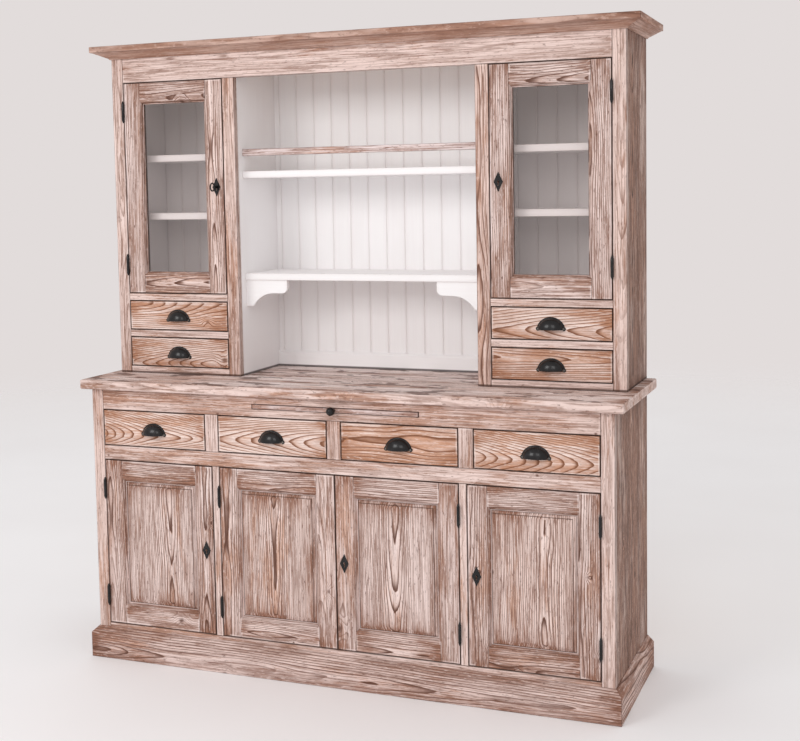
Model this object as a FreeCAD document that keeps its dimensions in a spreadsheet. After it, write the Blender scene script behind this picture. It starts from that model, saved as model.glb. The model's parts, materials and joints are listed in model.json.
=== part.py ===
import FreeCAD, Part
import Sketcher
import os
import re

# Kitchen hutch: a panelled base with drawers and a bread board, and a glazed top with an open bay.
# Millimetres. +X to the right, +Y to the back, +Z up. The origin is on the floor under the middle.

SIZES = {
    # base carcass
    "carcass_width": 1800,
    "base_depth": 497,
    "frame_thickness": 22,
    "plinth_height": 105,
    "plinth_projection": 22,
    "bottom_rail_hidden": 45,
    "bottom_rail": 14,
    "door_opening_height": 571,
    "mid_rail": 48,
    "drawer_opening_height": 124,
    "top_rail": 69,
    "base_stile": 42,
    "door_muntin": 24,
    "drawer_muntin": 47,
    "side_thickness": 22,
    "side_boards": 3,
    "floor_thickness": 18,
    "floor_boards": 3,
    "back_thickness": 12,
    "back_boards": 9,
    "back_foot": 40,
    "partition_thickness": 20,
    "shelf_height": 235,
    "shelf_thickness": 18,
    "shelf_setback": 60,
    "cleat": 20,
    "stop_strip": 15,
    # countertop
    "counter_thickness": 32,
    "counter_side_overhang": 32,
    "counter_front_overhang": 25,
    "counter_planks": 4,
    # bread board
    "slot_width": 581,
    "slot_height": 18,
    "slot_rise": 24.5,
    "bread_back_gap": 65,
    "bread_side_play": 2,
    "bread_head_play": 0.9,
    "bearer_lift": 0.4,
    "bearer_lap": 22,
    "bearer_guide": 12,
    "knob_radius": 14,
    "knob_stand": 20,
    "knob_neck": 5.5,
    "knob_rose": 7.5,
    "knob_rose_thickness": 2.5,
    # drawers
    "drawer_gap": 2,
    "drawer_front": 20,
    "drawer_wall": 12,
    "drawer_bottom": 6,
    "drawer_bottom_rise": 8,
    "drawer_side_drop": 6,
    "drawer_back_gap": 42,
    "runner_lap": 6,
    "runner_thickness": 18,
    "runner_play": 0.3,
    "guide_height": 30,
    "kicker_thickness": 14,
    # cup pulls
    "pull_half_width": 41,
    "pull_rise": 36,
    "pull_projection": 25,
    "pull_wall": 2.2,
    "pull_flange": 3.5,
    "pull_flange_thickness": 2,
    "pull_ear_radius": 6.5,
    "pull_ear_rise": 2.5,
    "pull_drop": 18,
    "screw_radius": 3.2,
    "screw_head": 1.2,
    # glazed top
    "hutch_depth": 315,
    "hutch_side_thickness": 20,
    "hutch_side_boards": 2,
    "hutch_stile": 43,
    "inner_stile": 44,
    "cupboard_opening": 389,
    "hutch_rail": 24,
    "small_opening_height": 104,
    "glazed_opening_height": 730,
    "frieze_height": 82,
    "roof_thickness": 18,
    "cornice_height": 42,
    "cornice_overhang": 54,
    "cornice_band": 20,
    "cornice_step": 5,
    "cornice_foot": 6,
    "bay_side_thickness": 20,
    "match_board_thickness": 15,
    "match_boards": 26,
    "match_bevel": 3,
    "skirting_height": 57,
    "skirting_thickness": 12,
    "skirting_bevel": 8,
    "white_shelf": 23,
    "bay_setback": 50,
    "bay_lower_shelf": 350,
    "bay_shelf_pitch": 347,
    "plate_rail_lift": 52,
    "plate_rail_height": 23,
    "plate_rail_thickness": 14,
    "cupboard_lower_shelf": 278,
    "cupboard_shelf_pitch": 202,
    "bracket_length": 155,
    "bracket_drop": 90,
    "bracket_arm": 45,
    "bracket_scoop": 91,
    "bracket_run": 103,
    "bracket_thickness": 20,
    "bracket_inset": 5,
    # doors
    "door_stop_gap": 0.5,
    "door_gap": 2,
    "frame_flat": 63,
    "mould_width": 11,
    "ovolo": 8,
    "mould_step": 1.5,
    "rebate_face": 12,
    "groove_width": 6,
    "groove_depth": 10,
    "tongue_play": 0.2,
    "tongue_end_play": 1,
    "panel_recess": 4,
    "panel_margin": 18,
    "panel_sight": 1,
    "glass_thickness": 3,
    # hinges
    "hinge_inset": 98,
    "knuckle_clear": 0.4,
    "knuckle_radius": 5,
    "knuckle_length": 28,
    "knuckle_gap": 0.2,
    "finial_height": 9.5,
    "finial_tip": 1.6,
    "pin_radius": 2.5,
    "pin_play": 0.05,
    "pin_length": 22,
    "leaf_thickness": 0.8,
    "leaf_depth": 16,
    # locks and key
    "lock_inset": 28,
    "escutcheon_width": 30,
    "escutcheon_height": 62,
    "escutcheon_thickness": 2,
    "keyhole_radius": 4,
    "keyhole_slot": 4,
    "keyhole_drop": 11.5,
    "case_edge": 3,
    "case_width": 52,
    "case_head_room": 2.5,
    "case_depth": 14,
    "case_wall": 1.5,
    "bolt_rise": 11,
    "bolt_height": 9,
    "bolt_thickness": 7,
    "bolt_length": 36,
    "bolt_play": 0.3,
    "strike_thickness": 0.8,
    "key_shaft": 3,
    "key_bow": 13,
    "key_wire": 2.5,
    "key_reach": 45,
    "key_collar": 5,
    "key_bit_radius": 10,
    "key_bit_width": 2.4,
    "key_bit_length": 6,
    # catch of the second base door
    "catch_width": 30,
    "catch_height": 14,
    "catch_plate": 1.5,
    "catch_gap": 0.6,
}

# Planes and edges that follow from the driving sizes, each written once.
PLACES = {
    "half": "carcass_width / 2",
    "plinth_bevel": "0.9 * plinth_projection",
    "front": "(counter_front_overhang - base_depth) / 2",
    "back": "front + base_depth",
    "frame_back": "front + frame_thickness",
    "back_inner": "back - back_thickness",
    "side_inner": "half - side_thickness",
    "door_floor": "plinth_height + bottom_rail",
    "door_head": "door_floor + door_opening_height",
    "drawer_floor": "door_head + mid_rail",
    "drawer_head": "drawer_floor + drawer_opening_height",
    "base_top": "drawer_head + top_rail",
    "counter_top": "base_top + counter_thickness",
    "door_edge": "half - base_stile",
    "door_opening": "(door_edge - door_muntin) / 2",
    "drawer_opening": "(2 * door_edge - 3 * drawer_muntin) / 4",
    "drawer_pitch": "drawer_opening + drawer_muntin",
    "partition_low": "door_opening + (door_muntin - partition_thickness) / 2",
    "partition_high": "partition_low + partition_thickness",
    "runner_top": "drawer_floor + drawer_gap - runner_play",
    "runner_bottom": "runner_top - runner_thickness",
    "runner_reach": "drawer_gap + drawer_wall + runner_lap",
    "slot_floor": "drawer_head + slot_rise",
    "slot_head": "slot_floor + slot_height",
    "slot_half": "slot_width / 2",
    "bread_half": "slot_half - bread_side_play",
    "bearer_top": "slot_floor + bearer_lift",
    "bearer_foot": "drawer_head + kicker_thickness",
    "bread_floor": "bearer_top + runner_play",
    "bread_head": "slot_head - bread_head_play",
    "bread_end": "back_inner - bread_back_gap",
    "base_drawer_end": "back_inner - drawer_back_gap",
    "shelf_top": "door_floor + shelf_height",
    "shelf_under": "shelf_top - shelf_thickness",
    "hutch_front": "back - hutch_depth",
    "hutch_frame_back": "hutch_front + frame_thickness",
    "hutch_back_inner": "back - match_board_thickness",
    "small_drawer_end": "hutch_back_inner - drawer_back_gap",
    "hutch_side_inner": "half - hutch_side_thickness",
    "cupboard_outer": "half - hutch_stile",
    "cupboard_inner": "cupboard_outer - cupboard_opening",
    "bay_half": "cupboard_inner - inner_stile",
    "bay_side_outer": "bay_half + bay_side_thickness",
    "small_floor_lower": "counter_top + hutch_rail",
    "small_head_lower": "small_floor_lower + small_opening_height",
    "small_floor_upper": "small_head_lower + hutch_rail",
    "small_head_upper": "small_floor_upper + small_opening_height",
    "glazed_floor": "small_head_upper + hutch_rail",
    "glazed_head": "glazed_floor + glazed_opening_height",
    "frieze_top": "glazed_head + frieze_height",
    "overall_top": "frieze_top + cornice_height",
    "roof_floor": "overall_top - roof_thickness",
    "match_pitch": "2 * hutch_side_inner / match_boards",
    "lower_shelf_top": "counter_top + bay_lower_shelf",
    "upper_shelf_top": "lower_shelf_top + bay_shelf_pitch",
    "plate_rail_floor": "upper_shelf_top + plate_rail_lift",
    "cupboard_shelf_top_lower": "glazed_floor + cupboard_lower_shelf",
    "cupboard_shelf_top_upper": "cupboard_shelf_top_lower + cupboard_shelf_pitch",
    "bracket_top": "lower_shelf_top - white_shelf",
    "nose_radius": "0.45 * bracket_arm",
    "bay_front": "hutch_front + bay_setback",
    "bracket_front": "bay_front + bracket_inset",
    "bracket_tip": "bay_half - bracket_length",
    "bracket_under": "bracket_top - bracket_arm",
    "door_thickness": "frame_thickness - door_stop_gap",
    "moulding_depth": "mould_step + ovolo",
    "sight": "frame_flat + mould_width",
    "tongue_lap": "groove_depth - tongue_end_play",
    "hinge_stand": "knuckle_radius + knuckle_clear",
    "case_half": "bolt_rise + bolt_height + case_wall + case_head_room",
}

# Door leaves: opening edges, front plane, hinge edge (-1 left, 1 right), lock, glazing.
DOORS = {
    "base_door_1": ("-door_edge + door_gap", "-door_opening - door_muntin - door_gap",
                    "front", -1, True, False),
    "base_door_2": ("-door_opening + door_gap", "-door_gap / 2",
                    "front", -1, False, False),
    "base_door_3": ("door_gap / 2", "door_opening - door_gap",
                    "front", 1, True, False),
    "base_door_4": ("door_opening + door_muntin + door_gap", "door_edge - door_gap",
                    "front", 1, True, False),
    "glazed_door_left": ("-cupboard_outer + door_gap", "-cupboard_inner - door_gap",
                         "hutch_front", -1, True, True),
    "glazed_door_right": ("cupboard_inner + door_gap", "cupboard_outer - door_gap",
                          "hutch_front", 1, True, True),
}
for label, (left, right, face, hinge, lock, glazed) in DOORS.items():
    PLACES[f"{label}_left"] = left
    PLACES[f"{label}_right"] = right
    PLACES[f"{label}_bottom"] = "glazed_floor + door_gap" if glazed else "door_floor + door_gap"
    PLACES[f"{label}_top"] = "glazed_head - door_gap" if glazed else "door_head - door_gap"
    PLACES[f"{label}_back"] = f"{face} + door_thickness"
    PLACES[f"{label}_lock_x"] = f"{left} + lock_inset" if hinge > 0 else f"{right} - lock_inset"
    PLACES[f"{label}_lock_z"] = f"({label}_bottom + {label}_top) / 2"

# Drawers: opening edges left, right, floor and head, front plane, rear of the box.
DRAWERS = {}
for number in range(1, 5):
    start = f"-door_edge + {number - 1} * drawer_pitch"
    DRAWERS[f"base_drawer_{number}"] = (start, f"{start} + drawer_opening", "drawer_floor",
                                        "drawer_head", "front", "base_drawer_end")
for side_name, left, right in (("left", "-cupboard_outer", "-cupboard_inner"),
                               ("right", "cupboard_inner", "cupboard_outer")):
    for level in ("lower", "upper"):
        DRAWERS[f"small_drawer_{side_name}_{level}"] = (left, right, f"small_floor_{level}",
                                                        f"small_head_{level}", "hutch_front",
                                                        "small_drawer_end")
for label, (left, right, floor, head, face, rear) in DRAWERS.items():
    PLACES[f"{label}_left"] = f"{left} + drawer_gap"
    PLACES[f"{label}_right"] = f"{right} - drawer_gap"
    PLACES[f"{label}_bottom"] = f"{floor} + drawer_gap"
    PLACES[f"{label}_top"] = f"{head} - drawer_gap"
    PLACES[f"{label}_end"] = rear

document = FreeCAD.newDocument("hutch")

sheet = document.addObject("Spreadsheet::Sheet", "sizes")
for row, (name, value) in enumerate(SIZES.items(), start=1):
    sheet.set(f"A{row}", name)
    sheet.set(f"B{row}", str(value))
    sheet.setAlias(f"B{row}", name)
document.recompute()

WORD = re.compile(r"[a-z][a-z_0-9]*")


def formula(text):
    """Names in the text become references to the sheet or to the derived places."""
    def reference(match):
        name = match.group(0)
        return f"sizes.{name}" if name in SIZES else f"places.{name}"
    return WORD.sub(reference, text)


places = document.addObject("App::VarSet", "places")
for name, text in PLACES.items():
    places.addProperty("App::PropertyFloat", name, "Places")
    places.setExpression(name, formula(text))
document.recompute()

ALONG = {
    "x": FreeCAD.Rotation(FreeCAD.Vector(0, 1, 0), 90),
    "y": FreeCAD.Rotation(FreeCAD.Vector(1, 0, 0), -90),
    "z": FreeCAD.Rotation(),
}
SKETCH_PLANES = {
    "xy": ("z", FreeCAD.Rotation()),
    "xz": ("y", FreeCAD.Rotation(FreeCAD.Vector(1, 0, 0), 90)),
    "yz": ("x", FreeCAD.Rotation(0.5, 0.5, 0.5, 0.5)),
}
LEAF_EDGES = ("left", "right", "bottom", "top", "back")
nodes = []


def bind(piece, target, text):
    piece.setExpression(target, formula(str(text)))


def count(name):
    return int(round(sheet.get(name)))


def across(edge, sign, near, far):
    """The low and high ends of a span measured from an edge, inwards along the sign."""
    if sign > 0:
        return (f"{edge} + ({near})", f"{edge} + ({far})")
    return (f"{edge} - ({far})", f"{edge} - ({near})")


def mirrored(sign, low, high):
    return (low, high) if sign > 0 else (f"-({high})", f"-({low})")


def board(label, x, y, z):
    """A rectangular board between two ends on each axis."""
    piece = document.addObject("Part::Box", label)
    for axis, size, (low, high) in (("x", "Length", x), ("y", "Width", y), ("z", "Height", z)):
        bind(piece, size, f"({high}) - ({low})")
        bind(piece, f"Placement.Base.{axis}", low)
    return piece


def glued_boards(label, number, axis, x, y, z):
    """Edge-glued boards that share a panel equally along one axis."""
    pieces = []
    for index in range(number):
        spans = {"x": x, "y": y, "z": z}
        low, high = spans[axis]
        step = f"(({high}) - ({low})) / {number}"
        spans[axis] = (f"{low} + {index} * {step}", f"{low} + {index + 1} * {step}")
        pieces.append(board(f"{label}_{index + 1}", spans["x"], spans["y"], spans["z"]))
    return pieces


def place(piece, x, y, z):
    for axis, text in (("x", x), ("y", y), ("z", z)):
        bind(piece, f"Placement.Base.{axis}", text)


def rod(label, axis, radius, centre, low, high):
    """A cylinder along an axis; the centre gives the other two coordinates in order."""
    piece = document.addObject("Part::Cylinder", label)
    piece.Placement = FreeCAD.Placement(FreeCAD.Vector(), ALONG[axis])
    bind(piece, "Radius", radius)
    bind(piece, "Height", f"({high}) - ({low})")
    position = list(centre)
    position.insert("xyz".index(axis), low)
    place(piece, *position)
    return piece


def cone(label, low_radius, high_radius, x, y, low, high):
    piece = document.addObject("Part::Cone", label)
    bind(piece, "Radius1", low_radius)
    bind(piece, "Radius2", high_radius)
    bind(piece, "Height", f"({high}) - ({low})")
    place(piece, x, y, low)
    return piece


def ellipsoid(label, half_x, half_y, half_z, x, y, z):
    piece = document.addObject("Part::Ellipsoid", label)
    bind(piece, "Radius1", half_z)
    bind(piece, "Radius2", half_x)
    bind(piece, "Radius3", half_y)
    place(piece, x, y, z)
    return piece


def prism(label, plane, corners, low, high):
    """A polygon drawn on a plane and extruded between two ends of the third axis."""
    axis, rotation = SKETCH_PLANES[plane]
    sketch = document.addObject("Sketcher::SketchObject", f"{label}_outline")
    total = len(corners)
    points = []
    for first, second in corners:
        values = (places.evalExpression(formula(first)), places.evalExpression(formula(second)))
        points.append(FreeCAD.Vector(float(values[0]), float(values[1]), 0))
    for index in range(total):
        sketch.addGeometry(Part.LineSegment(points[index], points[(index + 1) % total]), False)
    for index in range(total):
        sketch.addConstraint(Sketcher.Constraint("Coincident", index, 2, (index + 1) % total, 1))
    for index, texts in enumerate(corners):
        pairs = (("DistanceX", points[index].x, texts[0]), ("DistanceY", points[index].y, texts[1]))
        for kind, value, text in pairs:
            number = sketch.addConstraint(Sketcher.Constraint(kind, -1, 1, index, 1, value))
            bind(sketch, f"Constraints[{number}]", text)
    sketch.Placement = FreeCAD.Placement(FreeCAD.Vector(), rotation)
    bind(sketch, f"Placement.Base.{axis}", high if plane == "xz" else low)
    piece = document.addObject("Part::Extrusion", label)
    piece.Base = sketch
    piece.DirMode = "Normal"
    piece.Solid = True
    bind(piece, "LengthFwd", f"({high}) - ({low})")
    return piece


def fuse(label, pieces):
    piece = document.addObject("Part::MultiFuse", label)
    piece.Shapes = pieces
    piece.Refine = True
    return piece


def cut(label, base, tool):
    piece = document.addObject("Part::Cut", label)
    piece.Base = base
    piece.Tool = tool
    return piece


def common(label, base, tool):
    piece = document.addObject("Part::Common", label)
    piece.Base = base
    piece.Tool = tool
    return piece


def node(label, pieces):
    """A named sub-part made of separate solids."""
    piece = document.addObject("Part::Compound", label)
    piece.Label = label
    piece.Links = pieces
    nodes.append(piece)
    return piece


def mitred_moulding(label, profile, reach, face, foot, head):
    """A moulding round the front and both sides, mitred at the front corners."""
    pieces = []
    section = [(f"{face} - ({out})", up) for out, up in profile]
    run = prism(f"{label}_front_run", "yz", section, f"-half - {reach}", f"half + {reach}")
    plan = [(f"-half - {reach}", f"{face} - {reach}"), (f"half + {reach}", f"{face} - {reach}"),
            ("half", face), ("-half", face)]
    mitres = prism(f"{label}_front_plan", "xy", plan, foot, head)
    pieces.append(common(f"{label}_front", run, mitres))
    for sign, side in ((-1, "left"), (1, "right")):
        edge = f"{sign} * half"
        outer = f"{sign} * (half + {reach})"
        section = [(f"{sign} * (half + {out})", up) for out, up in profile]
        run = prism(f"{label}_{side}_run", "xz", section, f"{face} - {reach}", "back")
        plan = [(edge, face), (outer, f"{face} - {reach}"), (outer, "back"), (edge, "back")]
        mitres = prism(f"{label}_{side}_plan", "xy", plan, foot, head)
        pieces.append(common(f"{label}_{side}", run, mitres))
    return pieces


# Plinth: planted on the carcass, bevelled along its top edge.
plinth_profile = [("0", "0"), ("plinth_projection", "0"),
                  ("plinth_projection", "plinth_height - plinth_bevel"),
                  ("plinth_projection - plinth_bevel", "plinth_height"), ("0", "plinth_height")]
node("plinth_boards", mitred_moulding("plinth", plinth_profile, "plinth_projection", "front",
                                      "0", "plinth_height"))

# Base face frame, with the bread board slot through its top rail.
frame_depth = ("front", "frame_back")
between_stiles = ("-door_edge", "door_edge")
stop_depth = ("frame_back", "frame_back + stop_strip")
stop_height = ("door_head - stop_strip", "runner_bottom")
base_frame = []
for sign, side in ((-1, "left"), (1, "right")):
    base_frame.append(board(f"base_stile_{side}", mirrored(sign, "door_edge", "half"),
                            frame_depth, ("0", "base_top")))
    base_frame.append(board(f"base_door_muntin_{side}",
                            mirrored(sign, "door_opening", "door_opening + door_muntin"),
                            frame_depth, ("door_floor", "door_head")))
    base_frame.append(board(f"base_stop_{side}", mirrored(sign, "partition_high", "side_inner"),
                            stop_depth, stop_height))
base_frame.append(board("base_stop_middle", ("-partition_low", "partition_low"),
                        stop_depth, stop_height))
base_frame.append(board("base_bottom_rail", between_stiles, frame_depth,
                        ("plinth_height - bottom_rail_hidden", "door_floor")))
base_frame.append(board("base_mid_rail", between_stiles, frame_depth, ("door_head", "drawer_floor")))
for index in (-1, 0, 1):
    base_frame.append(board(f"base_drawer_muntin_{index + 2}",
                            (f"{index} * drawer_pitch - drawer_muntin / 2",
                             f"{index} * drawer_pitch + drawer_muntin / 2"),
                            frame_depth, ("drawer_floor", "drawer_head")))
whole_rail = board("base_top_rail_blank", between_stiles, frame_depth, ("drawer_head", "base_top"))
bread_slot = board("bread_slot", ("-slot_half", "slot_half"), frame_depth, ("slot_floor", "slot_head"))
base_frame.append(cut("base_top_rail", whole_rail, bread_slot))
node("base_face_frame", base_frame)

# Base carcass behind the frame.
carcass_depth = ("frame_back", "back_inner")
shelf_depth = ("front + shelf_setback", "back_inner")
shelf_level = ("shelf_under", "shelf_top")
inside_width = ("-side_inner", "side_inner")
sides = []
partitions = []
shelf_pieces = []
for sign, side in ((-1, "left"), (1, "right")):
    sides += glued_boards(f"base_side_{side}", count("side_boards"), "y",
                          mirrored(sign, "side_inner", "half"), ("frame_back", "back"),
                          ("0", "base_top"))
    partitions.append(board(f"base_partition_{side}", mirrored(sign, "partition_low", "partition_high"),
                            carcass_depth, ("door_floor", "runner_bottom")))
    shelf_pieces.append(board(f"base_shelf_{side}", mirrored(sign, "partition_high", "side_inner"),
                              shelf_depth, shelf_level))
    for name, low, high in (("outer", "side_inner - cleat", "side_inner"),
                            ("inner", "partition_high", "partition_high + cleat"),
                            ("middle", "partition_low - cleat", "partition_low")):
        shelf_pieces.append(board(f"base_cleat_{side}_{name}", mirrored(sign, low, high),
                                  ("front + shelf_setback + cleat", "back_inner"),
                                  ("shelf_under - cleat", "shelf_under")))
shelf_pieces.append(board("base_shelf_middle", ("-partition_low", "partition_low"),
                          shelf_depth, shelf_level))
node("base_sides", sides)
node("base_partitions", partitions)
node("base_shelves", shelf_pieces)
node("base_floor", glued_boards("base_floor_board", count("floor_boards"), "y", inside_width,
                                carcass_depth, ("door_floor - floor_thickness", "door_floor")))
node("base_back_boards", glued_boards("base_back_board", count("back_boards"), "x", inside_width,
                                      ("back_inner", "back"), ("back_foot", "base_top")))
node("countertop", glued_boards("counter_plank", count("counter_planks"), "y",
                                ("-half - counter_side_overhang", "half + counter_side_overhang"),
                                ("front - counter_front_overhang", "back"), ("base_top", "counter_top")))

# Runners under the drawers, guides beside them, kickers above them, and the bread board's bearers.
runners = []
lanes = []
for index in (-1, 0, 1):
    middle = f"{index} * drawer_pitch"
    lanes.append((f"lane_{index + 2}", (f"{middle} - drawer_muntin / 2 - runner_reach",
                                        f"{middle} + drawer_muntin / 2 + runner_reach"),
                  (f"{middle} - drawer_muntin / 2", f"{middle} + drawer_muntin / 2")))
for sign, side in ((-1, "left"), (1, "right")):
    lanes.append((f"lane_{side}", mirrored(sign, "door_edge - runner_reach", "side_inner"),
                  mirrored(sign, "door_edge", "side_inner")))
for lane, wide, narrow in lanes:
    runners.append(board(f"runner_{lane}", wide, carcass_depth, ("runner_bottom", "runner_top")))
    runners.append(board(f"guide_{lane}", narrow, carcass_depth,
                         ("runner_top", "runner_top + guide_height")))
    runners.append(board(f"kicker_{lane}", wide, carcass_depth, ("drawer_head", "bearer_foot")))
hutch_depth_span = ("hutch_frame_back", "hutch_back_inner")
small_lanes = (
    ("outer", ("cupboard_outer - runner_reach", "hutch_side_inner"),
     ("cupboard_outer", "hutch_side_inner")),
    ("inner", ("bay_side_outer", "cupboard_inner + runner_reach"),
     ("bay_side_outer", "cupboard_inner")),
)
for sign, side in ((-1, "left"), (1, "right")):
    runners.append(board(f"bread_bearer_{side}",
                         mirrored(sign, "slot_half - bearer_lap", "slot_half + bearer_guide"),
                         carcass_depth, ("bearer_foot", "bearer_top")))
    runners.append(board(f"bread_guide_{side}",
                         mirrored(sign, "slot_half", "slot_half + bearer_guide"),
                         carcass_depth, ("bearer_top", "slot_head")))
    for level in ("lower", "upper"):
        top = f"small_floor_{level} + drawer_gap - runner_play"
        for name, wide, narrow in small_lanes:
            runners.append(board(f"small_runner_{side}_{level}_{name}", mirrored(sign, *wide),
                                 hutch_depth_span, (f"{top} - runner_thickness", top)))
            runners.append(board(f"small_guide_{side}_{level}_{name}", mirrored(sign, *narrow),
                                 hutch_depth_span, (top, f"{top} + guide_height")))
node("drawer_runners", runners)

# Bread board and its round knob.
node("bread_board", [board("bread_board_plank", ("-bread_half", "bread_half"),
                           ("front", "bread_end"), ("bread_floor", "bread_head"))])
knob_height = "(bread_floor + bread_head) / 2"
knob_line = ("0", knob_height)
ball = document.addObject("Part::Sphere", "knob_ball")
bind(ball, "Radius", "knob_radius")
place(ball, "0", "front - knob_stand", knob_height)
neck = rod("knob_neck_rod", "y", "knob_neck", knob_line, "front - knob_stand", "front")
rose = rod("knob_rose_disc", "y", "knob_rose", knob_line, "front - knob_rose_thickness", "front")
node("bread_board_knob", [fuse("knob_turned", [ball, neck, rose])])

# Hutch carcass on the countertop.
hutch_frame_depth = ("hutch_front", "hutch_frame_back")
hutch_frame = []
hutch_sides = []
bay_sides = []
cupboard_shelves = []
for sign, side in ((-1, "left"), (1, "right")):
    hutch_frame.append(board(f"hutch_stile_{side}", mirrored(sign, "cupboard_outer", "half"),
                             hutch_frame_depth, ("counter_top", "roof_floor")))
    hutch_frame.append(board(f"inner_stile_{side}", mirrored(sign, "bay_half", "cupboard_inner"),
                             hutch_frame_depth, ("counter_top", "glazed_head")))
    for name, foot, head in (("foot", "counter_top", "small_floor_lower"),
                             ("middle", "small_head_lower", "small_floor_upper"),
                             ("sill", "small_head_upper", "glazed_floor")):
        hutch_frame.append(board(f"hutch_rail_{side}_{name}",
                                 mirrored(sign, "cupboard_inner", "cupboard_outer"),
                                 hutch_frame_depth, (foot, head)))
    inside = mirrored(sign, "bay_side_outer", "hutch_side_inner")
    hutch_frame.append(board(f"hutch_stop_{side}", inside,
                             ("hutch_frame_back", "hutch_frame_back + stop_strip"),
                             ("glazed_head - stop_strip", "glazed_head + stop_strip")))
    hutch_sides += glued_boards(f"hutch_side_{side}", count("hutch_side_boards"), "y",
                                mirrored(sign, "hutch_side_inner", "half"),
                                ("hutch_frame_back", "back"), ("counter_top", "roof_floor"))
    bay_sides.append(board(f"bay_side_{side}", mirrored(sign, "bay_half", "bay_side_outer"),
                           hutch_depth_span, ("counter_top", "roof_floor")))
    cupboard_shelves.append(board(f"cupboard_floor_{side}", inside, hutch_depth_span,
                                  ("glazed_floor - floor_thickness", "glazed_floor")))
    for level in ("lower", "upper"):
        top = f"cupboard_shelf_top_{level}"
        cupboard_shelves.append(board(f"cupboard_shelf_{side}_{level}", inside,
                                      ("hutch_front + shelf_setback", "hutch_back_inner"),
                                      (f"{top} - white_shelf", top)))
hutch_frame.append(board("frieze", ("-cupboard_outer", "cupboard_outer"), hutch_frame_depth,
                         ("glazed_head", "roof_floor")))
node("hutch_face_frame", hutch_frame)
node("hutch_sides", hutch_sides)
node("bay_sides", bay_sides)
node("cupboard_shelves", cupboard_shelves)
node("hutch_roof", [board("roof_board", ("-half", "half"), ("hutch_front", "back"),
                          ("roof_floor", "overall_top"))])

# Back of upright boards with V joints, and the bay's skirting.
back_pieces = []
for index in range(count("match_boards")):
    low = f"-hutch_side_inner + {index} * match_pitch"
    high = f"-hutch_side_inner + {index + 1} * match_pitch"
    corners = [(low, "back"), (high, "back"),
               (high, "hutch_back_inner + match_bevel"), (f"{high} - match_bevel", "hutch_back_inner"),
               (f"{low} + match_bevel", "hutch_back_inner"), (low, "hutch_back_inner + match_bevel")]
    back_pieces.append(prism(f"match_board_{index + 1}", "xy", corners, "counter_top", "roof_floor"))
skirting_face = "hutch_back_inner - skirting_thickness"
skirting_head = "counter_top + skirting_height"
skirting_profile = [
    (skirting_face, "counter_top"), ("hutch_back_inner", "counter_top"),
    ("hutch_back_inner", skirting_head), (f"{skirting_face} + skirting_bevel", skirting_head),
    (skirting_face, f"{skirting_head} - skirting_bevel"),
]
back_pieces.append(prism("bay_skirting", "yz", skirting_profile, "-bay_half", "bay_half"))
node("hutch_back_boards", back_pieces)

# Cornice: a splayed moulding under a square band.
cornice_profile = [("0", "frieze_top"), ("cornice_foot", "frieze_top"),
                   ("cornice_foot", "frieze_top + cornice_foot / 2"),
                   ("cornice_overhang - cornice_step", "overall_top - cornice_band"),
                   ("cornice_overhang", "overall_top - cornice_band"),
                   ("cornice_overhang", "overall_top"), ("0", "overall_top")]
node("cornice", mitred_moulding("cornice", cornice_profile, "cornice_overhang", "hutch_front",
                                "frieze_top", "overall_top"))

# Open bay: two shelves, a plate rail and two scalloped brackets.
bay_shelf_depth = ("bay_front", "hutch_back_inner")
bay_width = ("-bay_half", "bay_half")
node("bay_shelves", [
    board("bay_shelf_lower", bay_width, bay_shelf_depth, ("bracket_top", "lower_shelf_top")),
    board("bay_shelf_upper", bay_width, bay_shelf_depth,
          ("upper_shelf_top - white_shelf", "upper_shelf_top")),
])
node("plate_rail", [board("plate_rail_bar", bay_width,
                          ("bay_front", "bay_front + plate_rail_thickness"),
                          ("plate_rail_floor", "plate_rail_floor + plate_rail_height"))])
brackets = []
bracket_depth = ("bracket_front", "bracket_front + bracket_thickness")
for sign, side in ((-1, "left"), (1, "right")):
    arm = board(f"bracket_arm_{side}", mirrored(sign, "bracket_tip", "bay_half"), bracket_depth,
                ("bracket_under + nose_radius", "bracket_top"))
    under = board(f"bracket_under_{side}", mirrored(sign, "bracket_tip + nose_radius", "bay_half"),
                  bracket_depth, ("bracket_under", "bracket_top"))
    nose = rod(f"bracket_nose_{side}", "y", "nose_radius",
               (f"{sign} * (bracket_tip + nose_radius)", "bracket_under + nose_radius"), *bracket_depth)
    leg = board(f"bracket_leg_{side}", mirrored(sign, "bay_half - bracket_run", "bay_half"),
                bracket_depth, ("bracket_top - bracket_drop", "bracket_under"))
    scoop = rod(f"bracket_scoop_{side}", "y", "bracket_scoop",
                (f"{sign} * (bay_half - bracket_run)", "bracket_under - bracket_scoop"), *bracket_depth)
    swept = cut(f"bracket_swept_{side}", leg, scoop)
    brackets.append(fuse(f"bracket_{side}", [arm, under, nose, swept]))
node("shelf_brackets", brackets)


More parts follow.
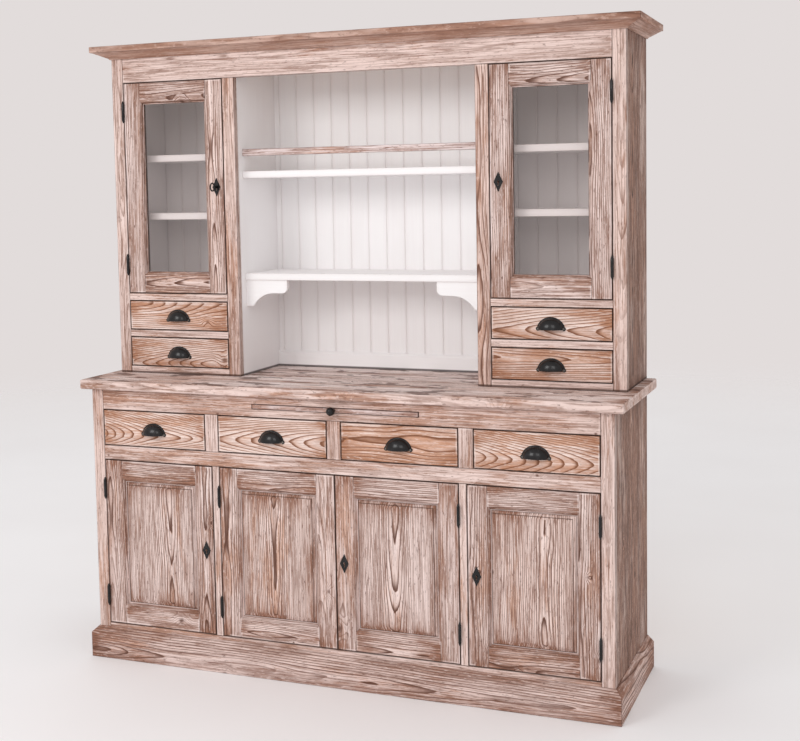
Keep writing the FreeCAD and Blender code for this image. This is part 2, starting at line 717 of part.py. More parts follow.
def cup_pull(label, face):
    """A half-dome pull, open below, with a flange, two ears and two screws."""
    x = f"({label}_left + {label}_right) / 2"
    z = f"({label}_bottom + {label}_top) / 2 - pull_drop"
    dome = ellipsoid(f"{label}_dome", "pull_half_width", "pull_projection", "pull_rise", x, face, z)
    brim = ellipsoid(f"{label}_brim", "pull_half_width + pull_flange", "pull_projection",
                     "pull_rise + pull_flange", x, face, z)
    reach = "pull_half_width + pull_flange + pull_ear_radius"
    plate_face = f"{face} - pull_flange_thickness"
    slab = board(f"{label}_slab", (f"{x} - ({reach})", f"{x} + ({reach})"), (plate_face, face),
                 (z, f"{z} + pull_rise + pull_flange"))
    flange = common(f"{label}_flange", brim, slab)
    quarter = board(f"{label}_quarter", (f"{x} - pull_half_width", f"{x} + pull_half_width"),
                    (f"{face} - pull_projection", face), (z, f"{z} + pull_rise"))
    cup = common(f"{label}_cup", dome, quarter)
    ears = []
    screws = []
    for sign, side in ((-1, "left"), (1, "right")):
        centre = (f"{x} + {sign} * pull_half_width", f"{z} + pull_ear_rise")
        ears.append(rod(f"{label}_ear_{side}", "y", "pull_ear_radius", centre, plate_face, face))
        screws.append(rod(f"{label}_screw_{side}", "y", "screw_radius", centre,
                          f"{plate_face} - screw_head", plate_face))
    hollow = ellipsoid(f"{label}_hollow", "pull_half_width - pull_wall", "pull_projection - pull_wall",
                       "pull_rise - pull_wall", x, face, z)
    # The screws' heads are sunk through the rim of the dome down to the ears.
    solid = fuse(f"{label}_casting", [cup, flange] + ears)
    hollowed = cut(f"{label}_hollowed", solid, hollow)
    seats = []
    for sign, side in ((-1, "left"), (1, "right")):
        seats.append(rod(f"{label}_seat_{side}", "y", "screw_radius",
                         (f"{x} + {sign} * pull_half_width", f"{z} + pull_ear_rise"),
                         f"{face} - pull_projection", plate_face))
    return [cut(f"{label}_shell", hollowed, fuse(f"{label}_seats", seats))] + screws


# Drawers.
for label, (left, right, floor, head, face, rear) in DRAWERS.items():
    ends = ("left", "right", "bottom", "top", "end")
    low, high, bottom, top, end = (f"{label}_{name}" for name in ends)
    box_start = f"{face} + drawer_front"
    side_top = f"{top} - drawer_side_drop"
    inner = (f"{low} + drawer_wall", f"{high} - drawer_wall")
    node(label, [
        board(f"{label}_front", (low, high), (face, box_start), (bottom, top)),
        board(f"{label}_side_left", (low, f"{low} + drawer_wall"), (box_start, end),
              (bottom, side_top)),
        board(f"{label}_side_right", (f"{high} - drawer_wall", high), (box_start, end),
              (bottom, side_top)),
        board(f"{label}_rear", inner, (f"{end} - drawer_wall", end), (bottom, side_top)),
        board(f"{label}_base", inner, (box_start, f"{end} - drawer_wall"),
              (f"{bottom} + drawer_bottom_rise", f"{bottom} + drawer_bottom_rise + drawer_bottom")),
    ])
    node(f"{label}_pull", cup_pull(label, face))


def keyhole(label, x, z, low, high):
    """The round and slotted hole that a key passes through."""
    round_hole = rod(f"{label}_round", "y", "keyhole_radius", (x, z), low, high)
    slot = board(f"{label}_slot", (f"{x} - keyhole_slot / 2", f"{x} + keyhole_slot / 2"), (low, high),
                 (f"{z} - keyhole_drop", z))
    return fuse(label, [round_hole, slot])


def moulded_member(label, cross, edge, sign, run, face, rebate_end, corners):
    """A stile or a rail with an ovolo on its inner edge, mitred where the mouldings meet."""
    along = "z" if cross == "x" else "x"

    def spans(near, far, low, high):
        chosen = {cross: across(edge, sign, near, far), "y": (low, high), along: run}
        return chosen["x"], chosen["y"], chosen["z"]

    rear = f"{face} + door_thickness"
    step = f"{face} + moulding_depth"
    flat = board(f"{label}_flat", *spans("0", "frame_flat", face, rear))
    lip = board(f"{label}_lip", *spans("frame_flat", "sight", step, rear))
    centre = f"{edge} + {sign} * frame_flat"
    axis_centre = (centre, step) if cross == "x" else (step, centre)
    bead = rod(f"{label}_bead", along, "ovolo", axis_centre, *run)
    section = fuse(f"{label}_section", [flat, lip, bead])
    rebate = board(f"{label}_rebate", *spans("sight - groove_depth", "sight",
                                             f"{face} + rebate_face", rebate_end))
    grooved = cut(f"{label}_grooved", section, rebate)
    return common(label, grooved, prism(f"{label}_face", "xz", corners, face, rear))


def door_frame(label, face, lock_left, lock_right, glazed):
    """Two stiles and two rails round the panel or the glass."""
    left, right, bottom, top, rear = (f"{label}_{name}" for name in LEAF_EDGES)
    rebate_end = rear if glazed else f"{face} + rebate_face + groove_width"
    members = []
    for side, edge, sign, locked in (("left", left, 1, lock_left), ("right", right, -1, lock_right)):
        flat = f"{edge} + {sign} * frame_flat"
        inner = f"{edge} + {sign} * sight"
        corners = [(edge, bottom), (flat, bottom),
                   (flat, f"{bottom} + frame_flat"), (inner, f"{bottom} + sight"),
                   (inner, f"{top} - sight"), (flat, f"{top} - frame_flat"),
                   (flat, top), (edge, top)]
        stile = moulded_member(f"{label}_stile_{side}", "x", edge, sign, (bottom, top),
                               face, rebate_end, corners)
        if locked:
            hole = keyhole(f"{label}_stile_keyhole", f"{label}_lock_x", f"{label}_lock_z",
                           face, rear)
            stile = cut(f"{label}_lock_stile", stile, hole)
        members.append(stile)
    for side, edge, sign in (("bottom", bottom, 1), ("top", top, -1)):
        flat = f"{edge} + {sign} * frame_flat"
        inner = f"{edge} + {sign} * sight"
        start, finish = f"{left} + frame_flat", f"{right} - frame_flat"
        corners = [(start, edge), (finish, edge), (finish, flat),
                   (f"{right} - sight", inner), (f"{left} + sight", inner), (start, flat)]
        members.append(moulded_member(f"{label}_rail_{side}", "z", edge, sign, (start, finish),
                                      face, rebate_end, corners))
    return members


def fielded_panel(label, face):
    """A panel whose tongue lies in the frame's groove and whose field rises over a sloping margin."""
    lap = "sight - tongue_lap"
    tongue_face = f"{face} + rebate_face + tongue_play"
    tongue = board(f"{label}_tongue", (f"{label}_left + {lap}", f"{label}_right - {lap}"),
                   (tongue_face, f"{face} + rebate_face + groove_width - tongue_play"),
                   (f"{label}_bottom + {lap}", f"{label}_top - {lap}"))
    field = document.addObject("Part::Wedge", f"{label}_field")
    outer = "sight + panel_sight"
    inner = f"{outer} + panel_margin"
    bind(field, "Ymin", f"{face} + panel_recess")
    bind(field, "Ymax", tongue_face)
    for low, high, near, far in (("Xmin", "Xmax", "left", "right"), ("Zmin", "Zmax", "bottom", "top")):
        bind(field, low, f"{label}_{near} + {inner}")
        bind(field, high, f"{label}_{far} - ({inner})")
        bind(field, f"{low[0]}2min", f"{label}_{near} + {outer}")
        bind(field, f"{low[0]}2max", f"{label}_{far} - ({outer})")
    return fuse(f"{label}_fielded", [tongue, field])


def hinge_halves(label, face, hinge):
    """The frame's and the door's halves of a door's two hinges."""
    sign = -hinge
    edge = f"{label}_left" if hinge < 0 else f"{label}_right"
    axis = (f"{edge} - {sign} * door_gap / 2", f"{face} - hinge_stand")
    leaf_depth = (axis[1], f"{face} + leaf_depth")
    fixed = []
    moving = []
    heights = (("lower", f"{label}_bottom + hinge_inset"), ("upper", f"{label}_top - hinge_inset"))
    for name, height in heights:
        hinge_label = f"{label}_hinge_{name}"
        foot = f"{height} - knuckle_length"
        crown = f"{height} + knuckle_length"
        start = f"{height} + knuckle_gap"
        fixed.append(fuse(f"{hinge_label}_fixed", [
            rod(f"{hinge_label}_lower_knuckle", "z", "knuckle_radius", axis, foot, height),
            cone(f"{hinge_label}_lower_finial", "finial_tip", "knuckle_radius", *axis,
                 f"{foot} - finial_height", foot),
            rod(f"{hinge_label}_pin", "z", "pin_radius", axis, foot, f"{height} + pin_length"),
            board(f"{hinge_label}_fixed_leaf",
                  across(edge, sign, "-door_gap", "leaf_thickness - door_gap"),
                  leaf_depth, (foot, height)),
        ]))
        turning = fuse(f"{hinge_label}_turning", [
            rod(f"{hinge_label}_upper_knuckle", "z", "knuckle_radius", axis, start, crown),
            cone(f"{hinge_label}_upper_finial", "knuckle_radius", "finial_tip", *axis, crown,
                 f"{crown} + finial_height"),
            board(f"{hinge_label}_door_leaf", across(edge, sign, "-leaf_thickness", "0"),
                  leaf_depth, (start, crown)),
        ])
        bore = rod(f"{hinge_label}_bore", "z", "pin_radius + pin_play", axis, height,
                   f"{height} + pin_length + pin_play")
        moving.append(cut(f"{hinge_label}_door_half", turning, bore))
    return fixed, moving


def bolt(label, hinge, play):
    """The lock's bolt, drawn back inside its case."""
    edge = f"{label}_left" if hinge > 0 else f"{label}_right"
    rear = f"{label}_back + case_wall + {play}"
    foot = f"{label}_lock_z + bolt_rise"
    return board(f"{label}_bolt", across(edge, hinge, "case_edge", "case_edge + bolt_length"),
                 (rear, f"{rear} + bolt_thickness"), (foot, f"{foot} + bolt_height"))


def rim_lock(label, face, hinge, play):
    """A diamond escutcheon in front and a hollow lock case behind the stile."""
    edge = f"{label}_left" if hinge > 0 else f"{label}_right"
    x, z, rear = f"{label}_lock_x", f"{label}_lock_z", f"{label}_back"
    wide, tall = "escutcheon_width / 2", "escutcheon_height / 2"
    plate_face = f"{face} - escutcheon_thickness"
    tips = [(f"{x} - {wide}", z), (x, f"{z} - {tall}"), (f"{x} + {wide}", z), (x, f"{z} + {tall}")]
    diamond = prism(f"{label}_diamond", "xz", tips, plate_face, face)
    plate_hole = keyhole(f"{label}_plate_keyhole", x, z, plate_face, face)
    plate = cut(f"{label}_escutcheon", diamond, plate_hole)
    depth = f"{rear} + case_depth"
    block = board(f"{label}_case_block", across(edge, hinge, "case_edge", "case_edge + case_width"),
                  (rear, depth), (f"{z} - case_half", f"{z} + case_half"))
    room = board(f"{label}_case_room",
                 across(edge, hinge, "case_edge + case_wall", "case_edge + case_width - case_wall"),
                 (f"{rear} + case_wall", f"{depth} - case_wall"),
                 (f"{z} - case_half + case_wall", f"{z} + case_half - case_wall"))
    mouth = board(f"{label}_case_mouth", across(edge, hinge, "case_edge", "case_edge + case_wall"),
                  (f"{rear} + case_wall", f"{rear} + case_wall + bolt_thickness + 2 * {play}"),
                  (f"{z} + bolt_rise - {play}", f"{z} + bolt_rise + bolt_height + {play}"))
    case_hole = keyhole(f"{label}_case_keyhole", x, z, rear, f"{rear} + case_wall")
    voids = fuse(f"{label}_case_voids", [room, mouth, case_hole])
    return [plate, cut(f"{label}_case", block, voids)]


# Doors, their panels or glass, and their ironwork.
frame_ironwork = []
for label, (left, right, face, hinge, lock, glazed) in DOORS.items():
    keyed = label == "glazed_door_left"
    node(f"{label}_frame", door_frame(label, face, lock and hinge > 0, lock and hinge < 0, glazed))
    fixed_halves, ironwork = hinge_halves(label, face, hinge)
    frame_ironwork += fixed_halves
    low, high, bottom, top, rear = (f"{label}_{name}" for name in LEAF_EDGES)
    if glazed:
        glass_face = f"{face} + rebate_face"
        glass_rear = f"{glass_face} + glass_thickness"
        bead_depth = (glass_rear, rear)
        edge_in = "sight - groove_depth"
        pane_x = (f"{low} + {edge_in}", f"{high} - ({edge_in})")
        pane_z = (f"{bottom} + {edge_in}", f"{top} - ({edge_in})")
        node(f"{label}_glass", [board(f"{label}_pane", pane_x, (glass_face, glass_rear), pane_z)])
        beads = []
        for side, edge, sign in (("left", low, 1), ("right", high, -1)):
            beads.append(board(f"{label}_bead_{side}", across(edge, sign, edge_in, "sight"),
                               bead_depth, pane_z))
        for side, edge, sign in (("bottom", bottom, 1), ("top", top, -1)):
            beads.append(board(f"{label}_bead_{side}", (f"{low} + sight", f"{high} - sight"), bead_depth,
                               across(edge, sign, edge_in, "sight")))
        node(f"{label}_beads", beads)
    else:
        node(f"{label}_panel", [fielded_panel(label, face)])
    if lock:
        ironwork += rim_lock(label, face, hinge, "bolt_play" if keyed else "0")
        lock_bolt = bolt(label, hinge, "bolt_play" if keyed else "0")
        if keyed:
            node("lock_bolt", [lock_bolt])
        else:
            ironwork.append(lock_bolt)
    else:
        catch_x = (f"{high} - 2 * catch_width", f"{high} - catch_width")
        catch_z = ("door_head - stop_strip - catch_height", "door_head - stop_strip")
        ironwork.append(board(f"{label}_catch_plate", catch_x, (rear, f"{rear} + catch_plate"),
                              catch_z))
        magnet_depth = (f"{rear} + catch_plate + catch_gap", "frame_back + stop_strip")
        frame_ironwork.append(board(f"{label}_magnet", catch_x, magnet_depth, catch_z))
    node(f"{label}_ironwork", ironwork)

# The keyed lock's strike plate behind the inner stile, and the fixed halves of the hinges.
lock_height = "glazed_door_left_lock_z + bolt_rise"
frame_ironwork.append(board("strike_plate", ("-cupboard_inner", "-bay_side_outer"),
                            ("hutch_frame_back", "hutch_frame_back + strike_thickness"),
                            (f"{lock_height} - bolt_height", f"{lock_height} + 2 * bolt_height")))
node("frame_ironwork", frame_ironwork)

# Key: a ring bow, a shaft with a collar, and a bit inside the lock case.
key_x, key_z = "glazed_door_left_lock_x", "glazed_door_left_lock_z"
key_rear = "glazed_door_left_back + case_depth - 2 * case_wall"
bow_centre = "hutch_front - key_reach + key_bow + key_wire"
bow = document.addObject("Part::Torus", "key_bow_ring")
bow.Placement = FreeCAD.Placement(FreeCAD.Vector(), ALONG["x"])
bind(bow, "Radius1", "key_bow")
bind(bow, "Radius2", "key_wire")
place(bow, key_x, bow_centre, key_z)
shaft = rod("key_shaft_rod", "y", "key_shaft", (key_x, key_z), f"{bow_centre} + key_bow", key_rear)
collar = rod("key_collar_ring", "y", "key_collar", (key_x, key_z),
             "hutch_front - 3 * key_shaft", "hutch_front - 2 * key_shaft")
bit = board("key_bit_blade", (f"{key_x} - key_bit_width / 2", f"{key_x} + key_bit_width / 2"),
            (f"{key_rear} - key_bit_length", key_rear), (f"{key_z} - key_bit_radius", key_z))
node("key", [fuse("key_forged", [bow, shaft, collar, bit])])

document.recompute()

# Every object must have been built, and every sub-part must be sound.
for item in document.Objects:
    if "Invalid" in item.State or "Error" in item.State:
        raise RuntimeError(f"{item.Label} was not built: {item.State}")
for item in nodes:
    if item.Shape.isNull() or not item.Shape.isValid() or not item.Shape.Solids:
        raise RuntimeError(f"{item.Label} has no sound shape")

os.makedirs("parts", exist_ok=True)
for item in nodes:
    item.Shape.exportStep(f"parts/{item.Label}.step")
print(len(nodes), "sub-parts,", sum(len(item.Shape.Solids) for item in nodes), "solids")
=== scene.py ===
"""Looks of the pine kitchen hutch: its finishes, dressed boards, ironwork, glass and studio."""

import json
import logging
import math
import random
from abc import ABC, abstractmethod
from dataclasses import dataclass, replace
from enum import Enum
from typing import Any, Callable, ClassVar, Iterable, Iterator, Mapping, Optional, Sequence, Union

import bmesh
import bpy
from mathutils import Matrix, Vector

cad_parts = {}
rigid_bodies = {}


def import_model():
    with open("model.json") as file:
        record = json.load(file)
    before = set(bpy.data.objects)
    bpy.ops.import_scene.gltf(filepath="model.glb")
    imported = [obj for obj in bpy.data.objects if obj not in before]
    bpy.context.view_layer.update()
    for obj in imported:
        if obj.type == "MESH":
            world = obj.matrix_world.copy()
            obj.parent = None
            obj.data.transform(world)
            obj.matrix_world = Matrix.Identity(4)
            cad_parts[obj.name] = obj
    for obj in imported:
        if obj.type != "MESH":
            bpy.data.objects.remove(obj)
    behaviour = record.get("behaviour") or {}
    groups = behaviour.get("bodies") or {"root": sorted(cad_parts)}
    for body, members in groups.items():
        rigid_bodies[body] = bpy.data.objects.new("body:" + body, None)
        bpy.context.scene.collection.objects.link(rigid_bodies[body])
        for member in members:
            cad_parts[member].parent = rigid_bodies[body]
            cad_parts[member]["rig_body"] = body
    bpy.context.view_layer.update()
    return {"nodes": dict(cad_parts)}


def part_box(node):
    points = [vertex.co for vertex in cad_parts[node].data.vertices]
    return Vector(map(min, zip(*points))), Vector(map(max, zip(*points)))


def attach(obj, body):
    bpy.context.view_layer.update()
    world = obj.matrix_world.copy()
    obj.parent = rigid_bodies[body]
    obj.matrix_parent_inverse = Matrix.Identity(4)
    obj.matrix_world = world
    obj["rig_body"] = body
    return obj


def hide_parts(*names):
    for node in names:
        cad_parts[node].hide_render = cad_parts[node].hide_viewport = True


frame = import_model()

COUNTER_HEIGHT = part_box("countertop")[1][2]
# A height that no board stands on, and half sizes whose outline no board reaches.
UNDER_ALL = -9.0
FAR_OFF = Vector((9.0, 9.0, 9.0))
# How much of a face's normal lies along an axis that it looks along, and on a steep face upwards.
FACING = 0.9
STEEP = 0.5
NOISE_MIDDLE = 0.5
# How strongly the painted shadow line shows where a board stands on the countertop.
CONTACT_SHADOW_SHOW = 0.85
WHITE_LIGHT = (1.0, 1.0, 1.0)
# The Mix node has sockets of every kind: these are its factor, its two colours and its colour output.
MIX_SHARE, MIX_FIRST, MIX_SECOND, MIX_COLOUR = 0, 6, 7, 2
LOG = logging.getLogger("hutch")

Colour = tuple[float, float, float]
Triple = tuple[float, float, float]
Operand = Union["Shade", float]
Shades = tuple["Shade", "Shade", "Shade"]
Piece = bpy.types.Object
Face = bpy.types.MeshPolygon


class Noise(Enum):
    """Waves to the metre along, across and into a board, finer layers, and their strength."""

    HAIR = ((8.0, 215.0, 70.0), 4.0, 0.70)
    VEIN = ((3.2, 110.0, 40.0), 2.0, 0.50)
    FLECK = ((48.0, 235.0, 120.0), 3.0, 0.60)
    STREAK = ((7.0, 46.0, 46.0), 4.0, 0.65)
    STAIN = ((9.0, 17.0, 17.0), 3.0, 0.60)
    BAND = ((3.0, 48.0, 30.0), 2.0, 0.50)
    PORE = ((22.0, 700.0, 200.0), 2.0, 0.60)
    PATCH = ((3.2, 13.0, 13.0), 4.0, 0.62)
    BROAD = ((1.2, 5.0, 5.0), 2.0, 0.50)
    SCUFF = ((26.0, 75.0, 75.0), 3.0, 0.65)
    RAGGED = ((90.0, 90.0, 90.0), 2.0, 0.50)
    BEND = ((1.0, 7.0, 7.0), 2.0, 0.50)
    SWAY = ((1.9, 4.0, 4.0), 2.0, 0.50)
    RIPPLE = ((7.0, 60.0, 60.0), 3.0, 0.50)
    BRUSH = ((4.0, 160.0, 160.0), 3.0, 0.60)
    CLOUD = ((3.0, 7.0, 7.0), 3.0, 0.55)
    CHIP = ((45.0, 110.0, 110.0), 3.0, 0.70)
    SKIN = ((520.0, 520.0, 520.0), 3.0, 0.60)
    RUB = ((60.0, 60.0, 60.0), 3.0, 0.60)
    FILM = ((9.0, 9.0, 9.0), 3.0, 0.60)
    FLOOR = ((1.2, 1.2, 1.2), 2.0, 0.50)


class Span(Enum):
    """Where a layer starts and where it is full: noise levels, or distances in metres."""

    VEIN = (0.07, 0.02)
    DARK_FLECK = (0.40, 0.32)
    PALE_FLECK = (0.57, 0.67)
    DARK_HAIR = (0.43, 0.34)
    PALE_HAIR = (0.56, 0.64)
    LOOSE_HAIR = (0.60, 0.42)
    STREAK = (0.45, 0.37)
    STAIN = (0.44, 0.39)
    DARK_BAND = (0.46, 0.32)
    DARK_PORE = (0.45, 0.32)
    COVER = (0.40, 0.60)
    BARE_END = (0.66, 0.42)
    BARE_EDGE = (0.64, 0.42)
    RUBBED_PATCH = (0.44, 0.58)
    FIGURED = (0.66, 0.72)
    FIGURE_SHOWS = (0.38, 0.58)
    RING_DARKENS = (0.62, 0.94)
    RING_ENDS = (1.0, 0.97)
    KNOT_CHOSEN = (1.0, 1.02)
    KNOT_EYE = (1.5, 0.3)
    KNOT_SWELL = (5.0, 0.4)
    WIDE_BOARD = (0.012, 0.035)
    NEAR_END = (0.10, 0.01)
    NEAR_EDGE = (0.045, 0.003)
    RUBBED_EDGE = (0.0080, 0.0040)
    RIM = (0.0022, 0.0007)
    FLANK = (0.0012, 0.0004)
    BEAD = (0.0016, 0.0006)
    GROOVE_SHADOW = (0.0018, 0.0006)
    GAP_SHADOW = (0.0029, 0.0012)
    LEAF_FRONT = (0.005, 0.002)
    LEAF_INSIDE = (0.02, 0.03)
    ON_LEAF = (1.0, 0.9)
    CONTACT_SHADOW = (0.0085, 0.0055)
    PAINT_EDGE = (0.0022, 0.0)
    PAINT_CHIP = (0.50, 0.62)
    GRIMY_EDGE = (0.012, 0.0)
    RUBBED_IRON = (0.50, 0.72)
    GLASS_FILM = (0.35, 0.85)
    FLOOR_FADE = (0.35, 0.98)


class Lot(Enum):
    """Factors that draw further numbers from a board's own number."""

    COVER = 6.13
    FIGURE = 9.31
    WARMTH = 2.17
    HEART = 5.37
    DEPTH = 8.91
    TAPER = 3.73


class Rounding(Enum):
    """How far the edges of a board are rounded, in metres."""

    CRISP = 0.0006
    EASED = 0.0014
    SOFT = 0.0022
    WORN = 0.0042


def srgb(red: int, green: int, blue: int) -> Colour:
    """Turns an 8-bit screen colour into linear light.

    Args:
        red: the red channel.
        green: the green channel.
        blue: the blue channel.

    Returns:
        The three channels in linear light.
    """
    def linear(level: int) -> float:
        """Linear light of one 8-bit channel."""
        share = level / 255.0
        return share / 12.92 if share <= 0.04045 else ((share + 0.055) / 1.055) ** 2.4
    return linear(red), linear(green), linear(blue)


class Shade:
    """A socket's value inside a node tree; arithmetic on it adds Math nodes."""

    def __init__(self, bench: "Bench", socket: bpy.types.NodeSocket) -> None:
        """Wraps a socket of the bench's node tree."""
        self.bench = bench
        self.socket = socket

    def __add__(self, other: Operand) -> "Shade":
        """This value plus another."""
        return self.bench.math("ADD", self, other)

    def __sub__(self, other: Operand) -> "Shade":
        """This value minus another."""
        return self.bench.math("SUBTRACT", self, other)

    def __rsub__(self, other: float) -> "Shade":
        """A number minus this value."""
        return self.bench.math("SUBTRACT", other, self)

    def __mul__(self, other: Operand) -> "Shade":
        """This value times another."""
        return self.bench.math("MULTIPLY", self, other)

    def __truediv__(self, other: Operand) -> "Shade":
        """This value divided by another."""
        return self.bench.math("DIVIDE", self, other)

    def __rtruediv__(self, other: float) -> "Shade":
        """A number divided by this value."""
        return self.bench.math("DIVIDE", other, self)

    __radd__ = __add__
    __rmul__ = __mul__

    def least(self, other: Operand) -> "Shade":
        """The smaller of this value and another."""
        return self.bench.math("MINIMUM", self, other)

    def most(self, other: Operand) -> "Shade":
        """The larger of this value and another."""
        return self.bench.math("MAXIMUM", self, other)

    def size(self) -> "Shade":
        """This value without its sign."""
        return self.bench.math("ABSOLUTE", self)

    def fraction(self) -> "Shade":
        """The part after the decimal point."""
        return self.bench.math("FRACT", self)

    def clamped(self) -> "Shade":
        """This value kept between 0 and 1."""
        return self.bench.math("ADD", self, 0.0, clamp=True)

    def swing(self) -> "Shade":
        """How far a noise or lot lies from its middle."""
        return self - NOISE_MIDDLE

    def lot(self, lot: Lot) -> "Shade":
        """Another number from 0 to 1, drawn from a board's own number."""
        return (self * lot.value).fraction()

    def over(self, span: Span) -> "Shade":
        """A smooth rise from 0 to 1 over a span; it falls where the span's first number is the larger.

        Args:
            span: where the rise starts and ends.

        Returns:
            The risen value.
        """
        start, full = span.value
        sockets = {"Value": self, "From Min": start, "From Max": full, "To Min": 0.0, "To Max": 1.0}
        settings = {"interpolation_type": "SMOOTHSTEP", "clamp": True}
        return self.bench.shade("ShaderNodeMapRange", settings, sockets)


class Bench:
    """The node tree of a material or of the sky, with a few short ways to add nodes."""

    def __init__(self, owner: Union[bpy.types.Material, bpy.types.World]) -> None:
        """Empties the owner's node tree.

        Args:
            owner: the material or world that the tree belongs to.
        """
        owner.use_nodes = True
        self.tree = owner.node_tree
        self.tree.nodes.clear()

    def node(self, kind: str, settings: Mapping[str, Any], sockets: Mapping[Any, Any]) -> bpy.types.Node:
        """Adds a node.

        Args:
            kind: the node's type.
            settings: its properties, set before its sockets.
            sockets: values or shades for its inputs, by name or by number.

        Returns:
            The node.
        """
        made = self.tree.nodes.new(kind)
        for name, value in settings.items():
            setattr(made, name, value)
        for key, value in sockets.items():
            if isinstance(value, Shade):
                self.tree.links.new(value.socket, made.inputs[key])
            elif isinstance(value, tuple) and made.inputs[key].type == "RGBA":
                made.inputs[key].default_value = (*value, 1.0)
            else:
                made.inputs[key].default_value = value
        return made

    def shade(self, kind: str, settings: Mapping[str, Any], sockets: Mapping[Any, Any],
              output: Union[int, str] = 0) -> Shade:
        """Adds a node and wraps one of its outputs, given by its name or number."""
        return Shade(self, self.node(kind, settings, sockets).outputs[output])

    def math(self, operation: str, *operands: Operand, clamp: bool = False) -> Shade:
        """A Math node on numbers or shades; clamp keeps its result between 0 and 1."""
        settings = {"operation": operation, "use_clamp": clamp}
        return self.shade("ShaderNodeMath", settings, dict(enumerate(operands)))

    def attribute(self, name: str, output: str) -> Shade:
        """One output of a piece's own attribute."""
        settings = {"attribute_type": "GEOMETRY", "attribute_name": name}
        return self.shade("ShaderNodeAttribute", settings, {}, output)

    def place(self) -> Shade:
        """The place on the piece, in metres."""
        return self.shade("ShaderNodeTexCoord", {}, {}, "Object")

    def vector(self, operation: str, first: Any, second: Any) -> Shade:
        """A Vector Math node on two vectors."""
        return self.shade("ShaderNodeVectorMath", {"operation": operation}, {0: first, 1: second})

    def split(self, vector: Shade) -> Shades:
        """The three parts of a vector."""
        made = self.node("ShaderNodeSeparateXYZ", {}, {0: vector})
        return tuple(Shade(self, socket) for socket in made.outputs)

    def rays(self, *kinds: str) -> Shade:
        """Whether the light's path is of one of some kinds.

        Args:
            kinds: names of the Light Path node's outputs.

        Returns:
            1 on such a path, otherwise 0.
        """
        path = self.node("ShaderNodeLightPath", {}, {})
        first, *others = (Shade(self, path.outputs[kind]) for kind in kinds)
        for other in others:
            first = first.most(other)
        return first

    def noise(self, place: Shade, kind: Noise) -> Shade:
        """Cloudy noise whose waves differ along each axis.

        Args:
            place: where the noise is read, in metres.
            kind: the noise's waves and finer layers.

        Returns:
            A value about 0.5 on average.
        """
        waves, detail, roughness = kind.value
        stretched = self.vector("MULTIPLY", place, waves)
        sockets = {"Vector": stretched, "Scale": 1.0, "Detail": detail, "Roughness": roughness}
        return self.shade("ShaderNodeTexNoise", {"noise_dimensions": "3D"}, sockets)

    def total(self, *parts: tuple[Shade, float]) -> Shade:
        """Adds values up, each with its own weight."""
        first, *others = (value * weight for value, weight in parts)
        return sum(others, first)

    def blend(self, share: Operand, first: Any, second: Any, kind: str = "MIX") -> Shade:
        """Mixes two colours.

        Args:
            share: how much of the second colour is taken.
            first: the first colour.
            second: the second colour.
            kind: the way of mixing.

        Returns:
            The mixed colour.
        """
        settings = {"data_type": "RGBA", "blend_type": kind, "clamp_factor": True}
        sockets = {MIX_SHARE: share, MIX_FIRST: first, MIX_SECOND: second}
        return self.shade("ShaderNodeMix", settings, sockets, MIX_COLOUR)

    def layered(self, ground: Colour, *layers: tuple[Operand, Colour]) -> Shade:
        """Lays colours over a ground, one after the other.

        Args:
            ground: the colour underneath.
            layers: how far each colour covers what is under it, and the colour.

        Returns:
            The colour that shows.
        """
        shown: Any = ground
        for share, colour in layers:
            shown = self.blend(share, shown, colour)
        return shown

    def room(self, offset: Shade, half: Shade) -> Shades:
        """How far a place is from each pair of sides of a box, from its middle and half sizes."""
        reach = self.vector("ABSOLUTE", offset, (0.0, 0.0, 0.0))
        return self.split(self.vector("SUBTRACT", half, reach))

    def board(self, shift: Triple) -> Shades:
        """Where a place is on its board.

        Args:
            shift: how far the noises of unlike boards are set apart along each axis.

        Returns:
            The board's own number, the place from the board's middle, and the place for noises.
        """
        tone = self.attribute("tone", "Fac")
        grain = self.attribute("grain", "Vector")
        apart = self.shade("ShaderNodeCombineXYZ", {}, {axis: tone * shift[axis] for axis in range(3)})
        return tone, grain, self.vector("ADD", grain, apart)

    def edge_room(self, grain: Shade) -> Shades:
        """How far a place on a board is from the board's edges, flanks and ends.

        Args:
            grain: the place from the board's middle.

        Returns:
            The distances in metres: to the nearest edge, to the nearest side or end, and to the
            nearest end.
        """
        end, side, face = self.room(grain, self.attribute("half", "Vector"))
        flank = end.least(side)
        return flank.most(end.most(side).least(face)), flank, end

    def contact_shadow(self) -> Shade:
        """The painted shadow line where a board stands on the countertop."""
        return self.attribute("foot", "Fac").over(Span.CONTACT_SHADOW) * CONTACT_SHADOW_SHOW

    def bump(self, height: Shade, strength: float, depth: float) -> Shade:
        """A surface normal from a height."""
        sockets = {"Strength": strength, "Distance": depth, "Height": height}
        return self.shade("ShaderNodeBump", {}, sockets)

    def principled(self, **sockets: Any) -> Shade:
        """The main shader; its inputs are named with underscores for spaces."""
        named = {name.replace("_", " "): value for name, value in sockets.items()}
        return self.shade("ShaderNodeBsdfPrincipled", {}, named)

    def either(self, share: Shade, first: Shade, second: Shade) -> Shade:
        """Mixes two shaders; share is how much of the second is taken."""
        return self.shade("ShaderNodeMixShader", {}, {0: share, 1: first, 2: second})

    def end(self, shader: Shade, output: str = "ShaderNodeOutputMaterial") -> None:
        """Ends the tree in a shader."""
        self.node(output, {}, {"Surface": shader})


@dataclass(frozen=True)
class Finish(ABC):
    """A finish that makes its material once; slot, the record's slot that it belongs to, is not used."""

    name: str
    slot: str
    made: ClassVar[dict[str, bpy.types.Material]] = {}

    @abstractmethod
    def mix(self, bench: Bench) -> None:
        """Builds the finish on an empty bench."""

    def material(self) -> bpy.types.Material:
        """Makes the finish's material at its first use.

        Returns:
            The material.
        """
        if self.name not in Finish.made:
            Finish.made[self.name] = bpy.data.materials.new(self.name)
            self.mix(Bench(Finish.made[self.name]))
        return Finish.made[self.name]


